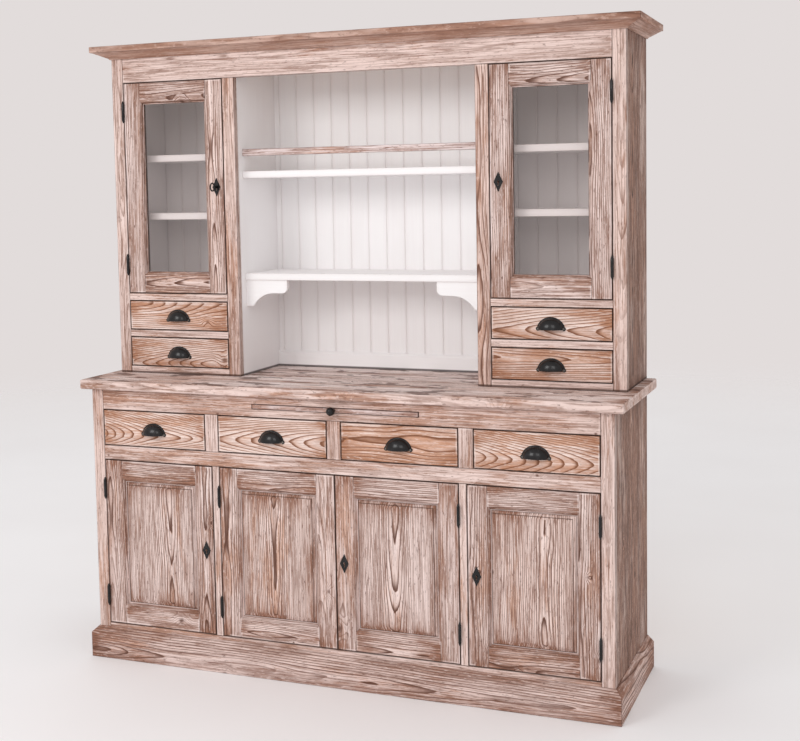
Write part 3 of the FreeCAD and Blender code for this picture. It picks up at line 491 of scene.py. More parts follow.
@dataclass(frozen=True)
class Pine(Finish):
    """Brushed pine under a worn white wash; the grain follows each board.

    A show is how strongly a layer covers, from 0 to 1, a least is its weakest share, a rag is how far
    its edge frays, and sizes are in metres. The groove is how far in from a panel's outline its painted
    shadow line lies, where the panel meets its frame; a groove below 0 lies off the board.
    """

    wood: Colour
    fibre: Colour
    figure: Colour
    line: Colour
    wash: Colour
    worn: Colour
    wash_cover: float
    figure_show: float
    knot: Colour = srgb(71, 46, 36)
    warm: Colour = (1.0, 0.91, 0.84)
    warmth: float = 0.035
    shift: Triple = (71.3, 37.7, 19.1)
    wash_show: float = 0.92
    board_spread: float = 0.15
    hair_show: float = 0.85
    hair_hidden: float = 0.25
    hair_breaks: float = 0.9
    pale_show: float = 0.5
    band_show: float = 0.3
    pore_show: float = 0.4
    dash_show: float = 0.8
    vein_least: float = 0.42
    vein_more: float = 0.7
    streak_show: float = 0.3
    stain_show: float = 0.0
    smear_show: float = 0.65
    end_least: float = 0.4
    rub_show: float = 0.5
    rub_rag: float = 0.003
    dark_rim: float = 0.7
    rim_rag: float = 0.004
    # How strongly painted shade darkens the boards' sides, where they lie in gaps and rebates.
    flank_shade: float = 0.0
    bead_show: float = 0.8
    # Where and how strongly a painted shadow line shows where a panel meets its frame.
    groove: float = -1.0
    groove_shadow_show: float = 0.75
    # How strongly and how raggedly the painted shadow shows in the gap round a door or drawer.
    gap_shadow_show: float = 0.8
    gap_shadow_rag: float = 0.0015
    figure_lots: float = 0.25
    figure_fill: float = 0.55
    figure_least: float = 0.2
    figure_plain: float = 0.3
    figure_more: float = 0.5
    line_show: float = 0.95
    ring_pitch: float = 0.0052
    ring_ripple: float = 0.5
    taper: float = 0.05
    heart_spread: float = 0.10
    heart_depth: float = 0.020
    depth_spread: float = 0.035
    depth_share: float = 0.5
    bend: float = 0.03
    sway: float = 0.05
    knot_share: float = 0.28
    knot_cells: Triple = (4.0, 5.2, 0.0)
    knot_scatter: float = 0.55
    knot_size: float = 0.014
    knot_growth: float = 0.030
    knot_rag: float = 0.9
    knot_swell: float = 0.014
    eye_show: float = 0.85
    roughness: float = 0.66

    def mix(self, bench: Bench) -> None:
        """Builds fibres, figure, knots, wash and worn edges, with painted shade on flanks, in gaps, along
        panel grooves and at the foot.

        Args:
            bench: an empty bench.
        """
        tone, grain, place = bench.board(self.shift)
        knot_eye, knot_swell = self.knots(bench, place)
        line, shadow = self.rings(bench, grain, place, tone, knot_swell)
        edge, flank, end = bench.edge_room(grain)
        leaf_room, front_room = self.leaf_room(bench)
        wide = bench.split(bench.attribute("half", "Vector"))[1].over(Span.WIDE_BOARD)

        hair = bench.noise(place, Noise.HAIR)
        fleck = bench.noise(place, Noise.FLECK)
        pore = bench.noise(place, Noise.PORE)
        patch = bench.noise(place, Noise.PATCH)
        broad = bench.noise(place, Noise.BROAD)
        frayed = bench.noise(place, Noise.SCUFF).swing()
        vein = bench.noise(place, Noise.VEIN).swing().size().over(Span.VEIN)
        streak = bench.noise(place, Noise.STREAK).over(Span.STREAK)
        stain = bench.noise(place, Noise.STAIN).over(Span.STAIN)
        band = bench.noise(place, Noise.BAND).over(Span.DARK_BAND)
        dash = fleck.over(Span.DARK_FLECK)
        glint = fleck.over(Span.PALE_FLECK)

        figured = (tone.lot(Lot.FIGURE) + self.figure_lots).over(Span.FIGURED)
        figure_room = (broad.swing() + self.figure_show).over(Span.FIGURE_SHOWS)
        shows = self.figure_least + figure_room * (self.figure_plain + figured * self.figure_more)
        board_cover = tone.lot(Lot.COVER).swing() * self.board_spread
        brushed = patch.swing() + hair.swing() * self.hair_breaks + board_cover
        cover = (brushed + self.wash_cover).over(Span.COVER)
        loose = self.end_least + hair.over(Span.LOOSE_HAIR) * (1.0 - self.end_least)
        worn_end = end.over(Span.NEAR_END) * loose * patch.over(Span.BARE_END)
        smear = (edge.over(Span.NEAR_EDGE) * patch.over(Span.BARE_EDGE) + worn_end) * wide
        rim = (edge + frayed * self.rim_rag).over(Span.RIM)
        # Painted shadow in the gap round the front of a door or drawer.
        gap_shadow = (leaf_room + frayed * self.gap_shadow_rag).over(Span.GAP_SHADOW) * front_room.over(Span.LEAF_FRONT)
        bead = flank.over(Span.BEAD) * leaf_room.over(Span.LEAF_INSIDE) * leaf_room.over(Span.ON_LEAF)
        # Painted shadow line where a panel meets its frame, at the groove's distance in from its outline.
        groove_shadow = (flank - self.groove).size().over(Span.GROOVE_SHADOW)
        rubbed = (edge + frayed * self.rub_rag).over(Span.RUBBED_EDGE) * patch.over(Span.RUBBED_PATCH)

        colour = bench.layered(
            self.wood,
            (cover * self.wash_show, self.wash),
            (streak * self.streak_show, self.worn),
            (smear * self.smear_show, self.worn),
            (band * self.band_show, self.fibre),
            (hair.over(Span.DARK_HAIR) * (self.hair_show - cover * self.hair_hidden), self.fibre),
            (hair.over(Span.PALE_HAIR) * self.pale_show, self.wash),
            (pore.over(Span.DARK_PORE) * self.pore_show * self.hair_show, self.fibre),
            (vein * self.hair_show * (self.vein_least + broad * self.vein_more), self.fibre),
            (glint * self.pale_show, self.wash),
            (stain * self.stain_show, self.knot),
            (shadow * shows * self.figure_fill, self.figure),
            (line * shows * self.line_show, self.line),
            (dash * self.hair_show * self.dash_show, self.line),
            (rubbed * self.rub_show, self.wash),
            # Painted shade on the boards' sides and along their edges, where they lie in gaps and rebates.
            (flank.over(Span.FLANK) * self.flank_shade, self.knot),
            (rim * self.dark_rim, self.knot),
            (bead * self.bead_show, self.wash),
            # Painted shadow line where a panel meets its frame.
            (groove_shadow * self.groove_shadow_show, self.knot),
            # Painted shadow in the gap round a door or drawer.
            (gap_shadow * self.gap_shadow_show, self.knot),
            (knot_eye * self.eye_show, self.line),
            # Painted shadow where the board stands on the countertop, in the knot colour.
            (bench.contact_shadow(), self.knot),
        )
        warmth = bench.total((tone.lot(Lot.WARMTH).swing(), 0.35), (broad.swing(), 0.6)) + self.warmth
        colour = bench.blend(warmth.clamped(), colour, self.warm, "MULTIPLY")
        relief = bench.total((hair, 0.6), (pore, 0.3), (vein, -0.3), (dash, -0.4), (line, -0.5),
                             (knot_eye, -0.4), (rim, -0.5))
        roughness = bench.total((hair.swing(), 0.25), (cover, -0.04)) + self.roughness
        bench.end(bench.principled(Base_Color=colour, Roughness=roughness.clamped(), Specular_IOR_Level=0.25,
                                   Normal=bench.bump(relief, strength=0.45, depth=0.0008)))

    @staticmethod
    def leaf_room(bench: Bench) -> tuple[Shade, Shade]:
        """How far a place on a door or drawer is from its outline and from its front.

        Args:
            bench: the material's bench.

        Returns:
            The distances in metres: to the nearest side, top or foot, and to the front.
        """
        offset = bench.attribute("leaf", "Vector")
        half = bench.attribute("leaf_half", "Vector")
        width, _, height = bench.room(offset, half)
        front = bench.split(offset)[1] + bench.split(half)[1]
        return width.least(height), front

    def knots(self, bench: Bench, place: Shade) -> tuple[Shade, Shade]:
        """Scatters small knots.

        Args:
            bench: the material's bench.
            place: the place on the board, with the board's own offset.

        Returns:
            The knots' eyes, and how far the grain swells round them.
        """
        stretched = bench.vector("MULTIPLY", place, self.knot_cells)
        settings = {"feature": "F1", "voronoi_dimensions": "2D"}
        sockets = {"Vector": stretched, "Scale": 1.0, "Randomness": self.knot_scatter}
        cells = bench.node("ShaderNodeTexVoronoi", settings, sockets)
        lot, size_lot, _ = bench.split(Shade(bench, cells.outputs["Color"]))
        chosen = (lot + self.knot_share).over(Span.KNOT_CHOSEN)
        ragged = bench.noise(place, Noise.RAGGED).swing() * self.knot_rag
        reach = Shade(bench, cells.outputs["Distance"]) / (self.knot_size + size_lot * self.knot_growth)
        share = reach + ragged
        return share.over(Span.KNOT_EYE) * chosen, share.over(Span.KNOT_SWELL) * chosen

    def rings(self, bench: Bench, grain: Shade, place: Shade, tone: Shade,
              swell: Shade) -> tuple[Shade, Shade]:
        """Cuts the tree's rings where the board's faces meet them.

        Args:
            bench: the material's bench.
            grain: the place from the board's middle.
            place: the same place with the board's own offset.
            tone: the board's own number.
            swell: the grain's swelling round knots.

        Returns:
            The dark line at each ring's end, and the shade that leads up to it.
        """
        along, across, deep = bench.split(grain)
        bend, sway, ripple = (bench.noise(place, kind).swing()
                              for kind in (Noise.BEND, Noise.SWAY, Noise.RIPPLE))
        heart = tone.lot(Lot.HEART).swing() * self.heart_spread
        depth = self.heart_depth + tone.lot(Lot.DEPTH) * self.depth_spread
        taper = tone.lot(Lot.TAPER).swing() * self.taper
        sideways = across - heart + bend * self.bend
        inwards = deep * self.depth_share + depth + sway * self.sway
        radius = bench.math("SQRT", sideways * sideways + inwards * inwards)
        grown = (radius + along * taper + swell * self.knot_swell) / self.ring_pitch
        turn = (grown + ripple * self.ring_ripple).fraction()
        return turn.over(Span.RING_DARKENS) * turn.over(Span.RING_ENDS), turn * turn


@dataclass(frozen=True)
class WhitePaint(Finish):
    """Matt white paint on boards, brushed along them and rubbed through at the edges."""

    paint: Colour
    grime: Colour
    bare: Colour
    shadow: Colour
    shift: Triple = (51.7, 23.9, 67.3)
    chip_rag: float = 0.006
    bare_show: float = 0.7
    dullness: float = 0.04
    roughness: float = 0.58

    def mix(self, bench: Bench) -> None:
        """Builds brush marks, grime at the joints, rubbed edges and a painted shadow where a board stands on
        the countertop.

        Args:
            bench: an empty bench.
        """
        _, grain, place = bench.board(self.shift)
        brush, cloud, chip = (bench.noise(place, kind) for kind in (Noise.BRUSH, Noise.CLOUD, Noise.CHIP))
        edge, _, _ = bench.edge_room(grain)
        frayed = edge + chip.swing() * self.chip_rag
        rubbed = frayed.over(Span.PAINT_EDGE) * chip.over(Span.PAINT_CHIP)
        grime = edge.over(Span.GRIMY_EDGE)
        dull = bench.total((cloud.swing(), 0.5), (grime, 0.25), (brush.swing(), 0.25)) + self.dullness
        # The last layer is a painted shadow where the board stands on the countertop.
        colour = bench.layered(self.paint, (dull.clamped(), self.grime),
                               (rubbed * self.bare_show, self.bare), (bench.contact_shadow(), self.shadow))
        height = bench.total((brush, 0.6), (cloud, 0.3), (rubbed, -0.5))
        roughness = bench.total((brush.swing(), 0.2), (rubbed, 0.15)) + self.roughness
        bench.end(bench.principled(Base_Color=colour, Roughness=roughness.clamped(), Specular_IOR_Level=0.35,
                                   Normal=bench.bump(height, strength=0.25, depth=0.0004)))


@dataclass(frozen=True)
class BlackIron(Finish):
    """Cast iron, blacked, with a fine pitted skin and paler rubbed places."""

    black: Colour
    rubbed: Colour
    rubbed_show: float = 0.8
    roughness: float = 0.33

    def mix(self, bench: Bench) -> None:
        """Builds the cast skin and its rubbed places.

        Args:
            bench: an empty bench.
        """
        place = bench.place()
        skin = bench.noise(place, Noise.SKIN)
        cloud = bench.noise(place, Noise.RUB)
        rub = cloud.over(Span.RUBBED_IRON)
        colour = bench.blend(rub * self.rubbed_show, self.black, self.rubbed)
        roughness = bench.total((skin.swing(), 0.20), (rub, -0.06)) + self.roughness
        height = bench.total((skin, 1.0), (cloud, 0.6))
        bench.end(bench.principled(Base_Color=colour, Metallic=0.55, Roughness=roughness.clamped(),
                                   Coat_Weight=0.3, Coat_Roughness=0.12,
                                   Normal=bench.bump(height, strength=0.18, depth=0.0003)))


@dataclass(frozen=True)
class WindowGlass(Finish):
    """Thin clear glass that lets the studio light into the cupboard."""

    tint: Colour
    haze: float = 0.03

    def mix(self, bench: Bench) -> None:
        """Builds glass for sight, and a clear way through for light.

        Args:
            bench: an empty bench.
        """
        film = bench.noise(bench.place(), Noise.FILM).over(Span.GLASS_FILM)
        glass = bench.principled(Base_Color=self.tint, Roughness=film * self.haze,
                                 Transmission_Weight=1.0, IOR=1.46)
        clear = bench.shade("ShaderNodeBsdfTransparent", {}, {"Color": self.tint})
        bench.end(bench.either(bench.rays("Is Shadow Ray", "Is Diffuse Ray"), glass, clear))


WASHED_PINE = Pine("washed_pine", "washed_pine", wood=srgb(214, 176, 158), fibre=srgb(125, 88, 72),
                   figure=srgb(176, 125, 97), line=srgb(91, 58, 46), wash=srgb(242, 223, 218),
                   worn=srgb(153, 111, 93), wash_cover=0.60, figure_show=0.66, figure_lots=0.5,
                   hair_show=0.82, flank_shade=0.7)
GLAZED_PINE = replace(WASHED_PINE, name="glazed_pine", wash_cover=0.65, bead_show=0.1, flank_shade=0.9,
                      smear_show=0.45)
PANEL_PINE = replace(WASHED_PINE, name="panel_pine", wash_cover=0.62, figure_show=0.62,
                     figure_lots=0.25, hair_show=0.74, groove=0.0098)
FRAME_PINE = replace(WASHED_PINE, name="frame_pine", wood=srgb(202, 160, 140), fibre=srgb(131, 94, 77),
                     figure=srgb(185, 137, 112), line=srgb(101, 66, 52), wash=srgb(236, 214, 207),
                     wash_cover=0.605, figure_show=0.40, figure_lots=0.0, hair_show=0.7,
                     streak_show=0.25, dark_rim=0.45, flank_shade=0.3, board_spread=0.06, smear_show=0.3)
EDGE_PINE = replace(FRAME_PINE, name="edge_pine", wash_cover=0.62, smear_show=0.1, dark_rim=0.3,
                    flank_shade=0.0)
PALE_PINE = Pine("pale_pine", "washed_pine", wood=srgb(210, 175, 161), fibre=srgb(144, 108, 94),
                 figure=srgb(185, 135, 113), line=srgb(108, 72, 59), wash=srgb(238, 225, 225),
                 worn=srgb(163, 123, 106), wash_cover=0.64, figure_show=0.45, rub_show=0.2, dark_rim=0.5)
PLANK_PINE = Pine("plank_pine", "washed_pine", wood=srgb(202, 160, 141), fibre=srgb(121, 85, 70),
                  figure=srgb(165, 115, 92), line=srgb(93, 60, 47), wash=srgb(233, 212, 206),
                  worn=srgb(140, 99, 81), wash_cover=0.55, figure_show=0.62, figure_lots=0.5,
                  ring_pitch=0.0075, hair_show=0.75, streak_show=0.4, rub_show=0.2, dark_rim=0.4)
CORNICE_PINE = Pine("cornice_pine", "washed_pine", wood=srgb(185, 143, 123), fibre=srgb(127, 91, 75),
                    figure=srgb(161, 114, 92), line=srgb(101, 67, 53), wash=srgb(206, 175, 162),
                    worn=srgb(142, 101, 84), wash_cover=0.54, figure_show=0.40, ring_pitch=0.0075,
                    hair_show=0.55, streak_show=0.25, knot_share=0.0, rub_show=0.1, dark_rim=0.4)
# The countertop's top is painted brighter than the pine elsewhere, to make up for the low light that falls
# on it; its edges and ends take the darker EDGE_PINE.
BRIGHTENED_COUNTER_PINE = Pine("brightened_counter_pine", "washed_pine", wood=srgb(238, 202, 186), fibre=srgb(150, 110, 93),
                    figure=srgb(200, 146, 119), line=srgb(101, 68, 55), wash=srgb(255, 244, 242),
                    worn=srgb(150, 109, 91), wash_cover=0.65, figure_show=0.50, ring_pitch=0.0075,
                    hair_show=0.55, streak_show=0.2, stain_show=0.75, knot_share=0.8, rub_show=0.0,
                    dark_rim=0.4)
BROWN_PINE = Pine("brown_pine", "washed_pine", wood=srgb(170, 128, 108), fibre=srgb(93, 64, 52),
                  figure=srgb(140, 95, 72), line=srgb(71, 46, 36), wash=srgb(219, 193, 182),
                  worn=srgb(121, 84, 67), knot=srgb(65, 42, 33), wash_cover=0.44, figure_show=0.55,
                  hair_show=0.95, streak_show=0.5, rub_show=0.3)
SIDE_PINE = replace(BROWN_PINE, name="side_pine", wash_cover=0.40, streak_show=0.7, hair_show=1.1)
HONEY_PINE = Pine("honey_pine", "honey_pine", wood=srgb(214, 172, 150), fibre=srgb(157, 114, 93),
                  figure=srgb(197, 133, 91), line=srgb(118, 74, 50), wash=srgb(242, 224, 217),
                  worn=srgb(170, 123, 99), wash_cover=0.53, figure_show=0.84, figure_lots=0.7,
                  ring_pitch=0.0064, taper=0.40, figure_fill=0.72, hair_show=0.40, streak_show=0.2,
                  dark_rim=0.8, flank_shade=0.7)
PLAIN_PINE = Pine("plain_pine", "plain_pine", wood=srgb(220, 184, 154), fibre=srgb(182, 142, 110),
                  figure=srgb(197, 149, 110), line=srgb(163, 116, 82), wash=srgb(234, 204, 177),
                  worn=srgb(193, 149, 115), knot=srgb(127, 86, 61), wash_cover=0.45, figure_show=0.55,
                  hair_show=0.5, dark_rim=0.3)
WHITE_PAINT = WhitePaint("white_paint", "white_paint", paint=srgb(246, 243, 243),
                         grime=srgb(226, 216, 215), bare=srgb(182, 146, 124), shadow=srgb(58, 44, 40))
BLACK_IRON = BlackIron("black_iron", "black_iron", black=srgb(18, 17, 18), rubbed=srgb(42, 41, 43))
SCREW_IRON = BlackIron("screw_iron", "black_iron", black=srgb(104, 99, 94), rubbed=srgb(150, 145, 138))
CLEAR_GLASS = WindowGlass("clear_glass", "clear_glass", tint=srgb(247, 244, 243))


@dataclass
class Board:
    """One closed board of a CAD node, copied so that it can be dressed."""

    triangles: list[tuple[Vector, Vector, Vector]]
    flat_angle: float = math.radians(1.0)
    crease_angle: float = math.radians(25.0)
    weld: float = 2e-6
    least_length: float = 6.0
    least_reach: float = 2.5

    def mesh(self, rounding: Rounding) -> bmesh.types.BMesh:
        """Joins the triangles into flat faces and rounds the edges.

        Args:
            rounding: how far the edges are rounded.

        Returns:
            A closed mesh.
        """
        made = bmesh.new()
        for corners in self.triangles:
            made.faces.new([made.verts.new(corner) for corner in corners])
        bmesh.ops.remove_doubles(made, verts=made.verts, dist=self.weld)
        bmesh.ops.dissolve_degenerate(made, edges=made.edges, dist=self.weld)
        bmesh.ops.dissolve_limit(made, angle_limit=self.flat_angle, verts=made.verts, edges=made.edges)
        for face in made.faces:
            face.smooth = any(self._bends(edge) for edge in face.edges)
        edges = [edge for edge in made.edges if self._is_corner(edge, rounding.value)]
        if edges:
            rounded = bmesh.ops.bevel(made, geom=edges, offset=rounding.value, offset_type="OFFSET",
                                      affect="EDGES", segments=2, profile=0.5, material=-1,
                                      clamp_overlap=True, loop_slide=True)
            for face in rounded["faces"]:
                face.smooth = True
        return made

    def _bends(self, edge: bmesh.types.BMEdge) -> bool:
        """Whether an edge lies within a curved surface."""
        return len(edge.link_faces) == 2 and self.flat_angle < edge.calc_face_angle() < self.crease_angle

    def _is_corner(self, edge: bmesh.types.BMEdge, width: float) -> bool:
        """Whether an edge is sharp, long, and has room on both of its faces to be rounded.

        Args:
            edge: the edge.
            width: how far it would be rounded.

        Returns:
            True where it can be rounded.
        """
        if len(edge.link_faces) != 2 or edge.calc_length() < self.least_length * width:
            return False
        if edge.calc_face_angle() < self.crease_angle:
            return False
        direction = (edge.verts[1].co - edge.verts[0].co).normalized()
        for face in edge.link_faces:
            side = face.normal.cross(direction)
            reach = [side.dot(vertex.co) for vertex in face.verts]
            if max(reach) - min(reach) < self.least_reach * width:
                return False
        return True


@dataclass
class Carpenter:
    """Copies CAD nodes into dressed boards whose grain runs along each board."""

    weld_grid: float = 1e5
    iron_crease: float = math.radians(32.0)

    def boards(self, node: str) -> list[Board]:
        """Cuts a node's list of triangles wherever a closed board ends.

        Args:
            node: the CAD node's name.

        Returns:
            The node's boards in order.
        """
        mesh = frame["nodes"][node].data
        open_edges: set[frozenset[Triple]] = set()
        done: list[Board] = []
        current: list[tuple[Vector, Vector, Vector]] = []
        for polygon in mesh.polygons:
            corners = tuple(mesh.vertices[index].co.copy() for index in polygon.vertices)
            current.append(corners)
            keys = [tuple(round(part * self.weld_grid) for part in corner) for corner in corners]
            for index, key in enumerate(keys):
                edge = frozenset((key, keys[(index + 1) % len(keys)]))
                if len(edge) == 2:
                    open_edges ^= {edge}
            if not open_edges:
                done.append(Board(current))
                current = []
        if current:
            done.append(Board(current))
        return done

    def dress(self, node: str, finish: Finish, rounding: Rounding, leaf: bool = False,
              stands_on: float = UNDER_ALL) -> Piece:
        """Replaces a wooden node by its rounded boards.

        Args:
            node: the CAD node's name.
            finish: what the boards are finished with.
            rounding: how far their edges are rounded.
            leaf: whether the node is a door or drawer, with a painted shadow line round its front, where its
                gap to the frame is.
            stands_on: the height that the boards stand on, where a painted shadow line shows.

        Returns:
            The piece that stands for the node.
        """
        lots = random.Random(node)
        whole = bmesh.new()
        grain_layer, half_layer, leaf_layer, leaf_half_layer = (
            whole.verts.layers.float_vector.new(name) for name in ("grain", "half", "leaf", "leaf_half"))
        tone_layer = whole.verts.layers.float.new("tone")
        foot_layer = whole.verts.layers.float.new("foot")
        leaf_low, leaf_high = (Vector(corner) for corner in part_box(node))
        leaf_middle = (leaf_low + leaf_high) / 2.0
        leaf_half = (leaf_high - leaf_low) / 2.0 if leaf else FAR_OFF
        for board in self.boards(node):
            shaped = board.mesh(rounding)
            tone = lots.random()
            low, high = self._box(shaped.verts)
            order = sorted(range(3), key=lambda axis: low[axis] - high[axis])
            middle = (low + high) / 2.0
            half = Vector([(high[axis] - low[axis]) / 2.0 for axis in order])
            twins = {}
            for vertex in shaped.verts:
                twin = whole.verts.new(vertex.co)
                offset = vertex.co - middle
                twin[grain_layer] = Vector([offset[axis] for axis in order])
                twin[half_layer] = half
                twin[leaf_layer] = vertex.co - leaf_middle
                twin[leaf_half_layer] = leaf_half
                twin[tone_layer] = tone
                twin[foot_layer] = vertex.co.z - stands_on
                twins[vertex] = twin
            for face in shaped.faces:
                copy = whole.faces.new([twins[vertex] for vertex in face.verts])
                copy.smooth = face.smooth
            shaped.free()
        return self.place(node, whole, finish)

    def forge(self, node: str, finish: Finish, screws: Optional[Finish] = None) -> Piece:
        """Replaces a metal or glass node by a welded copy with smooth curves and sharp creases.

        Args:
            node: the CAD node's name.
            finish: what the copy is finished with.
            screws: what the node's further solids are finished with, where they are screws.

        Returns:
            The piece that stands for the node.
        """
        whole = bmesh.new()
        for number, board in enumerate(self.boards(node)):
            start = len(whole.verts)
            for corners in board.triangles:
                face = whole.faces.new([whole.verts.new(corner) for corner in corners])
                face.material_index = 1 if screws and number else 0
            whole.verts.ensure_lookup_table()
            bmesh.ops.remove_doubles(whole, verts=whole.verts[start:], dist=board.weld)
        for face in whole.faces:
            face.smooth = True
        for edge in whole.edges:
            edge.smooth = len(edge.link_faces) == 2 and edge.calc_face_angle() < self.iron_crease
        piece = self.place(node, whole, finish)
        if screws:
            piece.data.materials.append(screws.material())
        return piece

    def place(self, node: str, whole: bmesh.types.BMesh, finish: Finish,
              added: str = "") -> Piece:
        """Turns a finished mesh into a piece that stands for a node or is added to it.

        Args:
            node: the CAD node's name.
            whole: the finished mesh, which is freed.
            finish: what the piece is finished with.
            added: the name of a detail that is added to the node, which then stays.

        Returns:
            The piece.
        """
        name = f"{node}.{added or 'dressed'}"
        mesh = bpy.data.meshes.new(name)
        whole.to_mesh(mesh)
        whole.free()
        piece = bpy.data.objects.new(name, mesh)
        bpy.context.scene.collection.objects.link(piece)
        mesh.materials.append(finish.material())
        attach(piece, frame["nodes"][node]["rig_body"])
        if not added:
            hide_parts(node)
        LOG.info("%s: %d faces", piece.name, len(mesh.polygons))
        return piece

    @staticmethod
    def repaint(piece: Piece, finish: Finish,
                chosen: Callable[[Face], bool]) -> Piece:
        """Gives some faces of a piece another finish.

        Args:
            piece: the dressed piece.
            finish: the other finish.
            chosen: tells whether a face takes it.

        Returns:
            The same piece.
        """
        piece.data.materials.append(finish.material())
        for face in piece.data.polygons:
            if chosen(face):
                face.material_index = len(piece.data.materials) - 1
        return piece

    @staticmethod
    def _box(vertices: Iterable[bmesh.types.BMVert]) -> tuple[Vector, Vector]:
        """The box round some vertices.

        Args:
            vertices: the vertices.

        Returns:
            The box's lowest and highest corners.
        """
        places = [vertex.co for vertex in vertices]
        low = Vector([min(place[axis] for place in places) for axis in range(3)])
        high = Vector([max(place[axis] for place in places) for axis in range(3)])
        return low, high


@dataclass
class Assembly(ABC):
    """A sub-assembly that dresses its own nodes."""

    carpenter: Carpenter

    @abstractmethod
    def build(self) -> Iterator[Piece]:
        """Builds and dresses the sub-assembly's pieces, one by one."""


@dataclass
class BaseCarcass(Assembly):
    """The panelled base: plinth, face frame, sides, inside and countertop."""

    inside: Sequence[str] = ("base_partitions", "base_shelves", "base_floor", "base_back_boards",
                             "drawer_runners")
    frame_edge: Rounding = Rounding.EASED
    counter_edge: Rounding = Rounding.WORN
    inside_edge: Rounding = Rounding.CRISP

    def build(self) -> Iterator[Piece]:
        """Dresses the plinth, frame, sides, countertop and inside boards.

        Returns:
            The pieces, one by one.
        """
        yield self.carpenter.dress("plinth_boards", PLANK_PINE, self.frame_edge)
        yield self.carpenter.dress("base_face_frame", FRAME_PINE, self.frame_edge)
        yield self.carpenter.dress("base_sides", SIDE_PINE, self.frame_edge)
        # The top's colours are painted brighter to make up for the low light on it.
        top = self.carpenter.dress("countertop", BRIGHTENED_COUNTER_PINE, self.counter_edge)
        yield self.carpenter.repaint(top, EDGE_PINE, self.is_edge)
        for node in self.inside:
            yield self.carpenter.dress(node, PLAIN_PINE, self.inside_edge)

    @staticmethod
    def is_edge(face: Face) -> bool:
        """Whether a face belongs to the countertop's edge or ends, which are plainer and darker than its
        top, whose colours are painted brighter to make up for the low light on it.
        """
        return abs(face.normal.z) < STEEP


@dataclass
class HutchCarcass(Assembly):
    """The glazed top: face frame, sides, roof and cornice."""

    frame_edge: Rounding = Rounding.EASED
    roof_edge: Rounding = Rounding.CRISP

    def build(self) -> Iterator[Piece]:
        """Dresses the hutch's frame, sides, cornice and roof.

        Returns:
            The pieces, one by one.
        """
        dress = self.carpenter.dress
        yield dress("hutch_face_frame", FRAME_PINE, self.frame_edge, stands_on=COUNTER_HEIGHT)
        sides = dress("hutch_sides", BROWN_PINE, self.frame_edge, stands_on=COUNTER_HEIGHT)
        yield self.carpenter.repaint(sides, WHITE_PAINT, self.looks_inwards)
        yield dress("cornice", CORNICE_PINE, self.frame_edge)
        yield dress("hutch_roof", PLAIN_PINE, self.roof_edge)

    @staticmethod
    def looks_inwards(face: Face) -> bool:
        """Whether a face of a side looks into the cupboard, where it is painted."""
        return face.normal.x * face.center.x < -FACING * abs(face.center.x)


@dataclass
class WhiteInside(Assembly):
    """The painted inside: back boards, bay, shelves, brackets and the plate rail."""

    painted: Sequence[str] = ("bay_shelves", "cupboard_shelves", "shelf_brackets")
    board_edge: Rounding = Rounding.CRISP
    shelf_edge: Rounding = Rounding.EASED

    def build(self) -> Iterator[Piece]:
        """Dresses the painted boards and the pine plate rail.

        Returns:
            The pieces, one by one.
        """
        dress = self.carpenter.dress
        back = dress("hutch_back_boards", WHITE_PAINT, self.board_edge, stands_on=COUNTER_HEIGHT)
        yield self.carpenter.repaint(back, PLAIN_PINE, self.looks_backwards)
        yield dress("bay_sides", WHITE_PAINT, self.board_edge, stands_on=COUNTER_HEIGHT)
        for node in self.painted:
            yield dress(node, WHITE_PAINT, self.shelf_edge)
        yield dress("plate_rail", PALE_PINE, self.shelf_edge)

    @staticmethod
    def looks_backwards(face: Face) -> bool:
        """Whether a face of the back looks to the rear, where it is bare."""
        return face.normal.y > FACING


@dataclass
class Doors(Assembly):
    """The four panelled doors and the two glazed ones."""

    panelled: Sequence[str] = ("base_door_1", "base_door_2", "base_door_3", "base_door_4")
    glazed: Sequence[str] = ("glazed_door_left", "glazed_door_right")
    leaf_edge: Rounding = Rounding.EASED
    inner_edge: Rounding = Rounding.CRISP

    def build(self) -> Iterator[Piece]:
        """Dresses every leaf, its panel or glass, and its ironwork.

        Returns:
            The pieces, one by one.
        """
        for door in (*self.panelled, *self.glazed):
            yield self.carpenter.forge(f"{door}_ironwork", BLACK_IRON)
        for door in self.panelled:
            yield self.carpenter.dress(f"{door}_frame", WASHED_PINE, self.leaf_edge, leaf=True)
            yield self.carpenter.dress(f"{door}_panel", PANEL_PINE, self.inner_edge)
        for door in self.glazed:
            yield self.carpenter.dress(f"{door}_frame", GLAZED_PINE, self.leaf_edge, leaf=True)
            yield self.carpenter.forge(f"{door}_glass", CLEAR_GLASS)
            yield self.carpenter.dress(f"{door}_beads", GLAZED_PINE, self.inner_edge)


